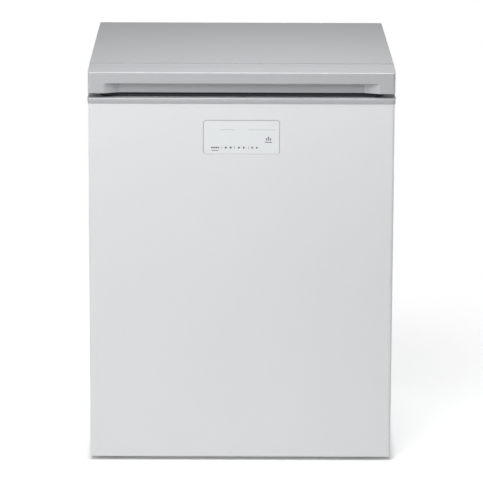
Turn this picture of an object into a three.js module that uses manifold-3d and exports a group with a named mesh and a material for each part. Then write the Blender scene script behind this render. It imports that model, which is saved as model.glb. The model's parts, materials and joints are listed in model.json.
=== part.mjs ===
// A single-lid kimchi refrigerator: a chest with a metal tub, four lift-out kimchi boxes and a hinged lid.
// Millimetres, +Z up, the front faces -Y. The origin is on the floor at the middle of the footprint.
// In this file depths are counted from the front panel's face, and the whole group is centred at the end.
import * as THREE from "three";
import { mergeVertices } from "three/addons/utils/BufferGeometryUtils.js";
import Module from "manifold-3d";

const wasm = await Module();
wasm.setup();

// ---------------------------------------------------------------- driving dimensions
const CABINET_WIDTH = 662;
const CABINET_DEPTH = 674; // front panel face to rear panel face
const CABINET_TOP = 798; // top edge of the sheet-steel walls
const FLOOR_CLEARANCE = 8; // under the base pan
const SHEET = 1; // steel of the walls
const PAN_SHEET = 1.2; // steel of the base pan and brackets
const FIT = 0.3; // clearance between pieces that seat on each other
const FLANGE = 12; // folded edges of the steel walls
const PANEL_RETURN = 14; // how far the front panel wraps round the sides
const PANEL_CORNER = 6;

const FRAME_OVERHANG = 2; // the collar stands proud of the steel walls
const FRAME_HEIGHT = 13;
const FRAME_WALL = 3;
const FRAME_LIP = 26; // how far the collar reaches down inside the tub

const WALL_FRONT = 68; // insulated walls, sheet face to tub
const WALL_REAR = 70;
const WALL_SIDE = 61;
const TUB_FLOOR = 300;
const TUB_WALL = 1.2;
const TUB_CORNER = 24;
const THERMISTOR_DROP = 121; // its cover's middle below the collar's top
const COIL_TUBE = 8; // evaporator pipe diameter
const COIL_TURNS = 5;
const COIL_BEND = 22;

const SEAL_GAP = 10; // between the collar and the lid, filled by the gasket
const SEAL_WIDTH = 15;
const SEAL_SETBACK = 24; // gasket's outer edge behind the lid's edge
const LID_SIDE_OVERHANG = 0.5; // the lid stands proud of the walls: at each side,
const LID_LEAD = 4; // in front of the front panel
const LID_REAR_OVERHANG = 4; // and behind the rear panel
const LID_FRONT_HEIGHT = 46;
const LID_CROWN = 6; // the flat top lies this much above the front edge
const LID_SLOPE_DEPTH = 92; // depth of the sloping front moulding
const LID_WALL = 2.6;
const LID_CORNER = 6;
const LID_EDGE = 8; // radius along the top front edge
const PLUG_DROP = 24; // how far the lid's inner liner reaches into the tub
const PLUG_CLEARANCE = 14;

const GRIP_END = 35.5; // from each side of the lid to the finger recess
const GRIP_TAPER = 30; // each slanting end of the recess
const GRIP_HEIGHT = 23;
const GRIP_DEPTH = 17;
const GRIP_ROOF = 10; // the recess climbs this much behind its front edge

const PLATE_WIDTH = 164; // touch plate
const PLATE_HEIGHT = 73.5;
const PLATE_DROP = 49.5; // from the collar's top to the plate's top edge
const PLATE_THICK = 3;
const PLATE_RECESS = 0.8;
const PLATE_CORNER = 6;
const PLATE_GAP = 0.6;
const HOUSING_DEPTH = 24;
const HOUSING_RIM = 8; // the housing's frame round the plate
const HOUSING_WALL = 2;
const BOARD_THICK = 1.6;

const MACHINE_DEPTH = 300;
const MACHINE_TOP = 262;
const PAN_FLANGE = 18;
const COMPRESSOR_X = -170; // the machine row is placed from the cabinet's middle
const COMPRESSOR_SETBACK = 144; // the row's middle in front of the rear panel
const COMPRESSOR_WIDTH = 190;
const COMPRESSOR_BREADTH = 150;
const COMPRESSOR_HEIGHT = 176;
const GROMMET_HEIGHT = 18;
const GROMMET_RADIUS = 12;
const MOUNT_PLATE = 3;
const STUB_REACH = 20; // the compressor's pipe stubs beyond its shell
const CONDENSER_X = 150;
const CONDENSER_RUN = 180;
const CONDENSER_ROWS = 4;
const CONDENSER_PITCH = 44;
const CONDENSER_TUBE = 6;
const FIN_COUNT = 3;
const FAN_STANDOFF = 40; // from the fan's shroud to the condenser
const FAN_RADIUS = 70;
const FAN_BLADES = 5;
const FAN_HUB = 20;
const LOUVRE_ROWS = 6;
const LOUVRE_LENGTH = 92;
const LOUVRE_HEIGHT = 5;
const LOUVRE_PITCH = 20;
const LOUVRE_LOW = 60; // height of the lowest row
const CONTROL_BOX_WIDTH = 110;
const CONTROL_BOX_DEPTH = 62;
const CONTROL_BOX_HEIGHT = 44;

const FOOT_INSET = 55; // the foot's middle from the side wall
const FOOT_Y = 46;
const FOOT_RADIUS = 20;
const STUD_RADIUS = 5;
const STUD_TOP = 46;
const SOCKET_RADIUS = 11; // welded bush the foot screws through
const SOCKET_HEIGHT = 12;
const THREAD_GAP = 0.35;
const ROLLER_INSET = 61;
const ROLLER_SETBACK = 46; // the axle in front of the rear panel
const ROLLER_RADIUS = 15;
const ROLLER_WIDTH = 20;
const AXLE_RADIUS = 3;
const AXLE_GAP = 0.25;

const HINGE_INSET = 116; // the hinge's middle from the side wall
const HINGE_RISE = 2; // pivot above the collar
const HINGE_OFFSET = 20.5; // pivot behind the rear panel
const PIN_RADIUS = 4;
const PIN_GAP = 0.25;
const KNUCKLE_RADIUS = 8;
const EAR_RADIUS = 9;
const EAR_SPACING = 60; // between the two ears' inner faces
const HINGE_PLATE = 3;
const HINGE_COVER_WALL = 2;
const HINGE_COVER_HEIGHT = 6; // the cover's top above the pivot
const HINGE_COVER_DEPTH = 33; // behind the rear panel
const SPRING_WIRE = 2.4;
const SPRING_TURNS = 4;
const SPRING_RADIUS = 6.5; // to the middle of the wire

const BOX_HEIGHT = 196; // kimchi box without its lid
const BOX_WALL = 2.4;
const BOX_DRAFT = 5; // each wall leans in towards the base
const BOX_GAP = 7;
const BOX_REAR_GAP = 14; // clears the sensor cover on the tub's rear wall
const BOX_CORNER = 26;
const BOX_LID_HEIGHT = 20;
const DIVIDER_THICK = 6;
const DIVIDER_HEIGHT = 430;

const CORNER_STEPS = 4; // facets in a quarter circle of a rounded rectangle

// ---------------------------------------------------------------- levels and rectangles worked out
const FRAME_TOP = CABINET_TOP + FRAME_HEIGHT;
const LID_BOTTOM = FRAME_TOP + SEAL_GAP;
const LID_EDGE_TOP = LID_BOTTOM + LID_FRONT_HEIGHT;
const LID_TOP = LID_EDGE_TOP + LID_CROWN;
const LID_WIDTH = CABINET_WIDTH + 2 * LID_SIDE_OVERHANG;
const LID_REAR = CABINET_DEPTH + LID_REAR_OVERHANG;
const GRIP_WIDTH = LID_WIDTH - 2 * GRIP_END; // at the front face
const INNER_HALF = CABINET_WIDTH / 2 - SHEET - FIT;
const MACHINE_FRONT = CABINET_DEPTH - MACHINE_DEPTH;
const HINGE_X = CABINET_WIDTH / 2 - HINGE_INSET;
const HINGE_Y = CABINET_DEPTH + HINGE_OFFSET;
const HINGE_Z = FRAME_TOP + HINGE_RISE;
const FOOT_X = CABINET_WIDTH / 2 - FOOT_INSET;
const ROLLER_X = CABINET_WIDTH / 2 - ROLLER_INSET;
const ROLLER_Y = CABINET_DEPTH - ROLLER_SETBACK;
const COMPRESSOR_Y = CABINET_DEPTH - COMPRESSOR_SETBACK;
const STUB_END = COMPRESSOR_X + COMPRESSOR_WIDTH / 2 + STUB_REACH;
const FAN_X = CONDENSER_X - CONDENSER_RUN / 2 - FAN_STANDOFF;
const PAN_FACE = FLOOR_CLEARANCE + SHEET + FIT + PAN_SHEET;
const PAN_RIM = FLOOR_CLEARANCE + SHEET + FIT + PAN_FLANGE;
const PLATE_Z = FRAME_TOP - PLATE_DROP - PLATE_HEIGHT / 2;

// A rectangle on plan: its middle, its size and its corner radius.
function rectangle(west, east, front, rear, radius) {
  return { x: (west + east) / 2, y: (front + rear) / 2, width: east - west, depth: rear - front, radius };
}
const TUB = rectangle(
  WALL_SIDE - CABINET_WIDTH / 2,
  CABINET_WIDTH / 2 - WALL_SIDE,
  WALL_FRONT,
  CABINET_DEPTH - WALL_REAR,
  TUB_CORNER,
);
const COLLAR = rectangle(
  -CABINET_WIDTH / 2 - FRAME_OVERHANG,
  CABINET_WIDTH / 2 + FRAME_OVERHANG,
  -FRAME_OVERHANG,
  CABINET_DEPTH + FRAME_OVERHANG,
  PANEL_CORNER + FRAME_OVERHANG,
);
const LID = rectangle(-LID_WIDTH / 2, LID_WIDTH / 2, -LID_LEAD, LID_REAR, LID_CORNER);

// ---------------------------------------------------------------- materials
const paint = (color, roughness, metalness = 0) =>
  new THREE.MeshStandardMaterial({ color, roughness, metalness });
const MATERIALS = {
  panel: paint(0xe2e4e5, 0.35, 0.1),
  steel: paint(0xdadcdd, 0.45, 0.2),
  silver: paint(0xbfc0c2, 0.4),
  plate: paint(0xdfe2e3, 0.3),
  galvanised: paint(0xa9adb0, 0.45, 0.8),
  tub: paint(0xc9cccf, 0.35, 0.9),
  foam: paint(0xe8ddb5, 0.9),
  liner: paint(0xe6e7e8, 0.4),
  gasket: paint(0x4a4c4f, 0.8),
  rubber: paint(0x2a2b2d, 0.85),
  copper: paint(0xb5703f, 0.35, 1),
  black: paint(0x1d1e20, 0.5),
  circuit: paint(0x2f6b45, 0.5),
  nylon: paint(0x3a3c3f, 0.6),
  box: paint(0xd9dcdc, 0.35),
  boxLid: paint(0x8d9396, 0.4),
};

// ---------------------------------------------------------------- shape helpers
function solid(geometry) {
  const bare = geometry.index ? geometry.toNonIndexed() : geometry.clone();
  bare.deleteAttribute("normal");
  bare.deleteAttribute("uv");
  const merged = mergeVertices(bare, 1e-4);
  return new wasm.Manifold(
    new wasm.Mesh({
      numProp: 3,
      vertProperties: merged.attributes.position.array,
      triVerts: new Uint32Array(merged.index.array),
    }),
  );
}

function geometryOf(manifold) {
  const mesh = manifold.getMesh();
  const positions = new THREE.BufferAttribute(new Float32Array(mesh.vertProperties), 3);
  const index = new THREE.BufferAttribute(new Uint32Array(mesh.triVerts), 1);
  return new THREE.BufferGeometry().setAttribute("position", positions).setIndex(index);
}

const cut = (base, ...tools) =>
  geometryOf(tools.reduce((left, tool) => left.subtract(solid(tool)), solid(base)));
const join = (...pieces) => geometryOf(pieces.map(solid).reduce((sum, piece) => sum.add(piece)));
const common = (a, b) => geometryOf(solid(a).intersect(solid(b)));

// A box between two corners.
function block(x0, x1, y0, y1, z0, z1) {
  const middle = [(x0 + x1) / 2, (y0 + y1) / 2, (z0 + z1) / 2];
  return new THREE.BoxGeometry(x1 - x0, y1 - y0, z1 - z0).translate(...middle);
}

// One ring of points round a rounded rectangle, drawn in by inset, anticlockwise seen from above.
function ring(rect, inset, z, steps = CORNER_STEPS) {
  const halfWidth = rect.width / 2 - inset;
  const halfDepth = rect.depth / 2 - inset;
  const radius = Math.min(Math.max(rect.radius - inset, 0.4), halfWidth, halfDepth);
  const corners = [
    [1, 1],
    [-1, 1],
    [-1, -1],
    [1, -1],
  ];
  return corners.flatMap(([sx, sy], corner) =>
    Array.from({ length: steps + 1 }, (_, i) => {
      const angle = (Math.PI / 2) * (corner + i / steps);
      return [
        rect.x + sx * (halfWidth - radius) + radius * Math.cos(angle),
        rect.y + sy * (halfDepth - radius) + radius * Math.sin(angle),
        z,
      ];
    }),
  );
}

// Rings of equal point counts joined into one skin: capped at both ends, or closed on the first ring.
function loft(rings, closed = false) {
  const count = rings[0].length;
  const index = [];
  const spans = closed ? rings.length : rings.length - 1;
  for (let k = 0; k < spans; k++) {
    const near = k * count;
    const far = ((k + 1) % rings.length) * count;
    for (let i = 0; i < count; i++) {
      const j = (i + 1) % count;
      index.push(near + i, near + j, far + j, near + i, far + j, far + i);
    }
  }
  if (!closed) {
    const last = (rings.length - 1) * count;
    for (let i = 1; i < count - 1; i++) index.push(0, i + 1, i, last, last + i, last + i + 1);
  }
  return new THREE.BufferGeometry()
    .setAttribute("position", new THREE.Float32BufferAttribute(rings.flat(2), 3))
    .setIndex(index);
}

// A shape from corner points, with optional holes.
function outline(points, holes = []) {
  const shape = new THREE.Shape(points.map(([x, y]) => new THREE.Vector2(x, y)));
  shape.holes = holes.map((hole) => new THREE.Path(hole.map(([x, y]) => new THREE.Vector2(x, y))));
  return shape;
}
const circle = (x, y, radius, sides = 16) =>
  Array.from({ length: sides }, (_, i) => [
    x + radius * Math.cos((2 * Math.PI * i) / sides),
    y + radius * Math.sin((2 * Math.PI * i) / sides),
  ]);
const roundedPoints = (x, y, width, height, radius, steps = CORNER_STEPS) =>
  ring({ x, y, width, depth: height, radius }, 0, 0, steps).map(([px, py]) => [px, py]);

// Extrusions of a flat shape: up from z, rearwards from y (shape in X and Z), or to the east from x
// (shape in Y and Z).
const extrude = (shape, depth) => new THREE.ExtrudeGeometry(shape, { depth, bevelEnabled: false });
const upwards = (shape, z, height) => extrude(shape, height).translate(0, 0, z);
const rearwards = (shape, y, depth) =>
  extrude(shape, depth)
    .rotateX(Math.PI / 2)
    .translate(0, y + depth, 0);
const eastwards = (shape, x, width) => {
  const axes = [new THREE.Vector3(0, 1, 0), new THREE.Vector3(0, 0, 1), new THREE.Vector3(1, 0, 0)];
  const turn = new THREE.Matrix4().makeBasis(...axes);
  return extrude(shape, width).applyMatrix4(turn).translate(x, 0, 0);
};

// A turned piece: [radius, height] pairs from axis to axis, standing on z; laid along X by lying().
const turned = (profile, sides) =>
  new THREE.LatheGeometry(
    profile.map(([radius, height]) => new THREE.Vector2(radius, height)),
    sides,
  ).rotateX(Math.PI / 2);
const lying = (geometry) => geometry.rotateY(Math.PI / 2);
const rod = (radius, length, sides = 16) =>
  turned(
    [
      [0, 0],
      [radius, 0],
      [radius, length],
      [0, length],
    ],
    sides,
  );

// A pipe along straight runs, its corners rounded to bend, as a loft of circles that stay square to the run.
function pipe(points, radius, bend, sides = 8, bendSteps = 4) {
  const corners = points.map((p) => new THREE.Vector3(...p));
  const path = [corners[0]];
  for (let i = 1; i < corners.length - 1; i++) {
    const before = corners[i - 1].clone().sub(corners[i]).normalize();
    const after = corners[i + 1].clone().sub(corners[i]).normalize();
    const half = before.angleTo(after) / 2;
    const reach = bend / Math.tan(half);
    const from = corners[i].clone().addScaledVector(before, reach);
    const to = corners[i].clone().addScaledVector(after, reach);
    const inwards = before.clone().add(after).normalize();
    const middle = corners[i].clone().addScaledVector(inwards, bend / Math.sin(half));
    const sweep = Math.PI - 2 * half;
    const u = from.clone().sub(middle);
    const v = to
      .clone()
      .sub(middle)
      .addScaledVector(u, -Math.cos(sweep))
      .divideScalar(Math.sin(sweep));
    for (let s = 0; s <= bendSteps; s++) {
      const angle = (sweep * s) / bendSteps;
      path.push(middle.clone().addScaledVector(u, Math.cos(angle)).addScaledVector(v, Math.sin(angle)));
    }
  }
  path.push(corners.at(-1));
  return tube(path, radius, sides);
}

// A tube through every point of a path.
function tube(path, radius, sides) {
  const tangentAt = (i) => {
    const ahead = path[Math.min(i + 1, path.length - 1)];
    const behind = path[Math.max(i - 1, 0)];
    return ahead.clone().sub(behind).normalize();
  };
  let tangent = tangentAt(0);
  const helper = Math.abs(tangent.z) < 0.9 ? new THREE.Vector3(0, 0, 1) : new THREE.Vector3(1, 0, 0);
  let side = helper.clone().cross(tangent).normalize();
  const rings = path.map((point, i) => {
    const next = tangentAt(i);
    side.applyQuaternion(new THREE.Quaternion().setFromUnitVectors(tangent, next));
    tangent = next;
    side.addScaledVector(tangent, -side.dot(tangent)).normalize();
    const up = tangent.clone().cross(side);
    return Array.from({ length: sides }, (_, k) => {
      const angle = (2 * Math.PI * k) / sides;
      return point
        .clone()
        .addScaledVector(side, radius * Math.cos(angle))
        .addScaledVector(up, radius * Math.sin(angle))
        .toArray();
    });
  });
  return loft(rings);
}

const refrigerator = new THREE.Group();
function add(name, geometry, material, parent = refrigerator) {
  const mesh = new THREE.Mesh(geometry, MATERIALS[material]);
  mesh.name = name;
  parent.add(mesh);
  return mesh;
}
// The same piece on both sides: west is negative X.
const SIDES = [
  ["left", -1],
  ["right", 1],
];

// ---------------------------------------------------------------- steel cabinet
function frontPanel() {
  const plan = rectangle(-CABINET_WIDTH / 2, CABINET_WIDTH / 2, 0, 4 * PANEL_RETURN, PANEL_CORNER);
  const height = CABINET_TOP - FLOOR_CLEARANCE;
  const outside = loft([ring(plan, 0, FLOOR_CLEARANCE), ring(plan, 0, FLOOR_CLEARANCE + height)]);
  const inside = loft([ring(plan, SHEET, FLOOR_CLEARANCE + SHEET), ring(plan, SHEET, CABINET_TOP + 1)]);
  const width = PLATE_WIDTH + 2 * PLATE_GAP;
  const opening = roundedPoints(0, PLATE_Z, width, PLATE_HEIGHT + 2 * PLATE_GAP, PLATE_CORNER + PLATE_GAP);
  const window = rearwards(outline(opening), -1, SHEET + 2);
  const behind = block(-CABINET_WIDTH, CABINET_WIDTH, PANEL_RETURN, CABINET_DEPTH, 0, CABINET_TOP + 1);
  return cut(outside, inside, behind, window);
}

// A side wall folded in at its front and rear edges, seen on plan.
function sidePanel(side) {
  const face = (side * CABINET_WIDTH) / 2;
  const inner = face - side * SHEET;
  const fold = face - side * FLANGE;
  const front = PANEL_RETURN + FIT;
  const rear = CABINET_DEPTH - SHEET - FIT;
  const plan = [
    [face, front],
    [face, rear],
    [fold, rear],
    [fold, rear - SHEET],
    [inner, rear - SHEET],
    [inner, front + SHEET],
    [fold, front + SHEET],
    [fold, front],
  ];
  return upwards(outline(plan), FLOOR_CLEARANCE, CABINET_TOP - FLOOR_CLEARANCE);
}

// The rear wall above the machine room, stiffened by two pressed beads that stand out of it.
function rearPanel() {
  const beadWidth = 60;
  const beadHeight = 3;
  const beadX = 90;
  const half = CABINET_WIDTH / 2;
  const bead = (x) => [
    [x - beadWidth / 2, 0],
    [x - beadWidth / 2 + 2 * beadHeight, beadHeight],
    [x + beadWidth / 2 - 2 * beadHeight, beadHeight],
    [x + beadWidth / 2, 0],
  ];
  const line = [[-half, 0], ...bead(-beadX), ...bead(beadX), [half, 0]];
  const outer = line.map(([x, y]) => [x, CABINET_DEPTH + y]);
  const inner = line.map(([x, y]) => [x, CABINET_DEPTH + y - SHEET]).reverse();
  const bottom = MACHINE_TOP + SHEET;
  return upwards(outline([...outer, ...inner]), bottom, CABINET_TOP - bottom);
}

function basePan() {
  const front = SHEET + FIT;
  const rear = CABINET_DEPTH - SHEET - FIT;
  const lip = PAN_FACE - PAN_SHEET; // the pan rests on the front panel's bottom fold
  const tray = cut(
    block(-INNER_HALF, INNER_HALF, front, rear - SHEET - FIT, lip, lip + PAN_FLANGE),
    block(
      -INNER_HALF + PAN_SHEET,
      INNER_HALF - PAN_SHEET,
      front + PAN_SHEET,
      rear - SHEET - FIT - PAN_SHEET,
      lip + PAN_SHEET,
      lip + PAN_FLANGE + 1,
    ),
  );
  const notch = FLANGE + 1; // clears the folded edges of the side walls
  const corners = SIDES.flatMap(([, side]) => [
    block(
      Math.min(side * (INNER_HALF + 1), side * (INNER_HALF - notch)),
      Math.max(side * (INNER_HALF + 1), side * (INNER_HALF - notch)),
      0,
      PANEL_RETURN + FIT + SHEET + FIT,
      0,
      lip + PAN_FLANGE + 1,
    ),
  ]);
  const socketTop = PAN_FACE + SOCKET_HEIGHT;
  const sockets = SIDES.map(([, side]) =>
    upwards(outline(circle(side * FOOT_X, FOOT_Y, SOCKET_RADIUS)), lip, socketTop - lip),
  );
  const bores = SIDES.map(([, side]) =>
    upwards(outline(circle(side * FOOT_X, FOOT_Y, STUD_RADIUS + THREAD_GAP)), 0, socketTop + 1),
  );
  const wheelSlots = SIDES.map(([, side]) =>
    block(
      side * ROLLER_X - ROLLER_WIDTH / 2 - 7,
      side * ROLLER_X + ROLLER_WIDTH / 2 + 7,
      ROLLER_Y - ROLLER_RADIUS - 3,
      ROLLER_Y + ROLLER_RADIUS + 3,
      0,
      lip + PAN_SHEET + 1,
    ),
  );
  return cut(join(tray, ...sockets), ...bores, ...wheelSlots, ...corners);
}

// ---------------------------------------------------------------- collar, tub and insulation
function topFrame() {
  const round = 2.5;
  const tubSide = FIT + FRAME_WALL;
  return loft(
    [
      ring(COLLAR, 0, CABINET_TOP),
      ring(COLLAR, 0, FRAME_TOP - round),
      ring(COLLAR, round * 0.3, FRAME_TOP - round * 0.3),
      ring(COLLAR, round, FRAME_TOP),
      ring(TUB, tubSide - round, FRAME_TOP),
      ring(TUB, tubSide - round * 0.3, FRAME_TOP - round * 0.3),
      ring(TUB, tubSide, FRAME_TOP - round),
      ring(TUB, tubSide, FRAME_TOP - FRAME_LIP),
      ring(TUB, FIT, FRAME_TOP - FRAME_LIP),
      ring(TUB, FIT, FRAME_TOP - FRAME_WALL),
      ring(COLLAR, FRAME_WALL, FRAME_TOP - FRAME_WALL),
      ring(COLLAR, FRAME_WALL, CABINET_TOP),
    ],
    true,
  );
}

const TUB_RIM = FRAME_TOP - FRAME_WALL - FIT; // top of the tub's turned-out rim
const RIM_WIDTH = 12;
function innerLiner() {
  const round = 12;
  return loft([
    ring(TUB, round - TUB_WALL, TUB_FLOOR - TUB_WALL),
    ring(TUB, round * 0.3 - TUB_WALL, TUB_FLOOR - TUB_WALL + round * 0.3),
    ring(TUB, -TUB_WALL, TUB_FLOOR - TUB_WALL + round),
    ring(TUB, -TUB_WALL, TUB_RIM - TUB_WALL),
    ring(TUB, -RIM_WIDTH, TUB_RIM - TUB_WALL),
    ring(TUB, -RIM_WIDTH, TUB_RIM),
    ring(TUB, 0, TUB_RIM),
    ring(TUB, 0, TUB_FLOOR + round),
    ring(TUB, round * 0.3, TUB_FLOOR + round * 0.3),
    ring(TUB, round, TUB_FLOOR),
  ]);
}

const COIL_LINE = TUB_WALL + FIT + COIL_TUBE / 2; // coil's centreline outside the tub's inner face
const COIL_END = MACHINE_TOP - 34;
const COIL_ABOVE_FLOOR = 40;
const COIL_BELOW_RIM = 60;
const COIL_LOW = TUB_FLOOR + COIL_ABOVE_FLOOR;
const COIL_HIGH = TUB_RIM - COIL_BELOW_RIM;
const TAIL_CLEARANCE = 15; // beside the compressor's stubs
const TAIL_X = STUB_END + TAIL_CLEARANCE; // where the pipe drops into the machine room
const TAIL_GAP = 14;

// The pipe is one rounded-rectangular helix round the tub, then drops behind it to the machine room.
function evaporatorCoil() {
  const halfWidth = TUB.width / 2 + COIL_LINE;
  const halfDepth = TUB.depth / 2 + COIL_LINE;
  const bend = TUB.radius + COIL_LINE;
  const rear = TUB.y + halfDepth;
  const corners = [
    [TUB.x + halfWidth, TUB.y + halfDepth],
    [TUB.x + halfWidth, TUB.y - halfDepth],
    [TUB.x - halfWidth, TUB.y - halfDepth],
    [TUB.x - halfWidth, TUB.y + halfDepth],
  ];
  const rise = (COIL_HIGH - COIL_LOW) / (4 * COIL_TURNS);
  const turns = Array.from({ length: 4 * COIL_TURNS }, (_, k) => {
    return [...corners[k % 4], COIL_LOW + rise * (k + 0.5)];
  });
  const start = [TAIL_X, rear, COIL_END];
  const entry = [TAIL_X, rear, COIL_LOW];
  const exit = [TAIL_X - TAIL_GAP, rear, COIL_HIGH];
  const body = pipe([entry, ...turns, exit], COIL_TUBE / 2, bend, 5, CORNER_STEPS);
  const drop = [start, entry, [TAIL_X + 60, rear, COIL_LOW + 1]];
  const tail = pipe(drop, COIL_TUBE / 2, COIL_BEND, 5, 3);
  return join(body, tail);
}

function insulationFoam() {
  const pocketWall = TUB_WALL + FIT + COIL_TUBE + FIT;
  const front = SHEET + FIT;
  const rear = CABINET_DEPTH - SHEET - FIT;
  const top = TUB_RIM - TUB_WALL - FIT;
  const inTray = PAN_SHEET + FIT;
  const trayHalf = INNER_HALF - inTray;
  const whole = join(
    block(-INNER_HALF, INNER_HALF, front, rear, PAN_RIM + FIT, top),
    block(-trayHalf, trayHalf, front + inTray, MACHINE_FRONT, PAN_FACE + FIT, PAN_RIM + 1),
  );
  const pocket = loft([ring(TUB, -pocketWall, TUB_FLOOR - TUB_WALL - FIT), ring(TUB, -pocketWall, top + 1)]);
  const machineRoom = block(
    -CABINET_WIDTH,
    CABINET_WIDTH,
    MACHINE_FRONT - FIT,
    CABINET_DEPTH + 1,
    0,
    MACHINE_TOP + SHEET + FIT,
  );
  const edge = FLANGE + FIT;
  const folds = SIDES.flatMap(([, side]) => {
    const west = Math.min(side * (CABINET_WIDTH / 2 + 1), side * (CABINET_WIDTH / 2 - edge));
    const east = Math.max(side * (CABINET_WIDTH / 2 + 1), side * (CABINET_WIDTH / 2 - edge));
    return [
      block(west, east, 0, PANEL_RETURN + 2 * FIT + SHEET, 0, top + 1),
      block(west, east, CABINET_DEPTH - 2 * PANEL_CORNER, CABINET_DEPTH + 1, 0, top + 1),
    ];
  });
  const skirt = FRAME_WALL - FRAME_OVERHANG + FIT;
  const underCollar = cut(
    block(-CABINET_WIDTH, CABINET_WIDTH, -1, CABINET_DEPTH + 1, CABINET_TOP - FIT, top + 1),
    block(-CABINET_WIDTH / 2 + skirt, CABINET_WIDTH / 2 - skirt, skirt, CABINET_DEPTH - skirt, 0, top + 2),
  );
  const housing = block(
    -PLATE_WIDTH / 2 - HOUSING_RIM - FIT,
    PLATE_WIDTH / 2 + HOUSING_RIM + FIT,
    0,
    SHEET + 2 * FIT + HOUSING_DEPTH,
    PLATE_Z - PLATE_HEIGHT / 2 - HOUSING_RIM - FIT,
    PLATE_Z + PLATE_HEIGHT / 2 + HOUSING_RIM + FIT,
  );
  const pipeRun = block(
    TAIL_X - COIL_TUBE / 2 - FIT,
    TAIL_X + COIL_TUBE / 2 + FIT,
    TUB.y + TUB.depth / 2,
    TUB.y + TUB.depth / 2 + pocketWall,
    MACHINE_TOP,
    TUB_FLOOR + 20,
  );
  const footWells = SIDES.map(([, side]) =>
    upwards(outline(circle(side * FOOT_X, FOOT_Y, SOCKET_RADIUS + 1)), 0, STUD_TOP + 10),
  );
  return cut(whole, pocket, machineRoom, ...folds, underCollar, housing, pipeRun, ...footWells);
}

// A removable plate that splits the tub into two bays, with a finger slot near its top.
function tubDivider() {
  const half = DIVIDER_THICK / 2;
  const front = WALL_FRONT + FIT;
  const rear = CABINET_DEPTH - WALL_REAR - FIT;
  const middle = (front + rear) / 2;
  const foot = 14;
  const plate = outline(
    [
      [front + foot, TUB_FLOOR + FIT],
      [rear - foot, TUB_FLOOR + FIT],
      [rear, TUB_FLOOR + foot],
      [rear, TUB_FLOOR + DIVIDER_HEIGHT],
      [front, TUB_FLOOR + DIVIDER_HEIGHT],
      [front, TUB_FLOOR + foot],
    ],
    [roundedPoints(middle, TUB_FLOOR + DIVIDER_HEIGHT - 36, 110, 26, 12)],
  );
  return eastwards(plate, -half, DIVIDER_THICK);
}

// The small cover over the temperature sensor, on the tub's rear wall.
function thermistorCover() {
  const cover = { x: 0, y: 0, width: 34, depth: 60, radius: 10 };
  const rear = CABINET_DEPTH - WALL_REAR - FIT;
  return loft([ring(cover, 0, 0), ring(cover, 0, 5), ring(cover, 3, 9)])
    .rotateX(Math.PI / 2)
    .translate(TUB.width / 4, rear, FRAME_TOP - THERMISTOR_DROP);
}

// ---------------------------------------------------------------- control panel
function controlPlate() {
  const face = { x: 0, y: 0, width: PLATE_WIDTH, depth: PLATE_HEIGHT, radius: PLATE_CORNER };
  const bevel = 0.6;
  return loft([ring(face, 0, 0), ring(face, 0, PLATE_THICK - bevel), ring(face, bevel, PLATE_THICK)])
    .rotateX(Math.PI / 2)
    .translate(0, PLATE_RECESS + PLATE_THICK, PLATE_Z);
}

const HOUSING_FRONT = PLATE_RECESS + PLATE_THICK + FIT;
function displayHousing() {
  const width = PLATE_WIDTH + 2 * HOUSING_RIM;
  const height = PLATE_HEIGHT + 2 * HOUSING_RIM;
  const rear = SHEET + FIT + HOUSING_DEPTH;
  const front = SHEET + FIT;
  const shell = rearwards(outline(roundedPoints(0, PLATE_Z, width, height, 6)), front, rear - front);
  const plateSeat = rearwards(
    outline(roundedPoints(0, PLATE_Z, PLATE_WIDTH + 2 * PLATE_GAP, PLATE_HEIGHT + 2 * PLATE_GAP, 6)),
    0,
    HOUSING_FRONT,
  );
  const inside = rearwards(
    outline(roundedPoints(0, PLATE_Z, PLATE_WIDTH - 8, PLATE_HEIGHT - 8, 4)),
    0,
    rear - HOUSING_WALL,
  );
  return cut(shell, plateSeat, inside);
}

// The circuit board, with its row of six touch pads and the connector behind it.
function displayBoard() {
  const width = PLATE_WIDTH - 8 - 2 * FIT;
  const height = PLATE_HEIGHT - 8 - 2 * FIT;
  const y = SHEET + FIT + HOUSING_DEPTH - HOUSING_WALL - 6;
  const board = rearwards(outline(roundedPoints(0, PLATE_Z, width, height, 4)), y, BOARD_THICK);
  const padPitch = 13;
  const pads = Array.from({ length: 6 }, (_, i) => {
    const x = -18 + padPitch * i;
    return rearwards(outline(circle(x, PLATE_Z - PLATE_HEIGHT / 4, 4.5, 6)), y - 11, 11.4);
  });
  const back = SHEET + FIT + HOUSING_DEPTH - HOUSING_WALL - FIT;
  const connector = block(30, 56, y + 1, back, PLATE_Z, PLATE_Z + 14);
  const posts = SIDES.map(([, side]) =>
    rearwards(
      outline(circle(side * (width / 2 - 6), PLATE_Z, 3, 8)),
      y + 1,
      back - y - 1,
    ),
  );
  return join(board, ...pads, connector, ...posts);
}

// ---------------------------------------------------------------- machine room
function machineRoomBulkhead() {
  const half = INNER_HALF - PAN_SHEET - FIT;
  const rear = CABINET_DEPTH - 2 * SHEET - 3 * FIT;
  const floor = PAN_FACE + FIT;
  const profile = [
    [MACHINE_FRONT, floor],
    [MACHINE_FRONT + SHEET, floor],
    [MACHINE_FRONT + SHEET, MACHINE_TOP],
    [rear, MACHINE_TOP],
    [rear, MACHINE_TOP + SHEET],
    [MACHINE_FRONT, MACHINE_TOP + SHEET],
  ];
  const pipeHole = upwards(
    outline(circle(TAIL_X, TUB.y + TUB.depth / 2 + COIL_LINE, COIL_TUBE / 2 + 1)),
    MACHINE_TOP - 1,
    SHEET + 2,
  );
  return cut(eastwards(outline(profile), -half, 2 * half), pipeHole);
}

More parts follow.
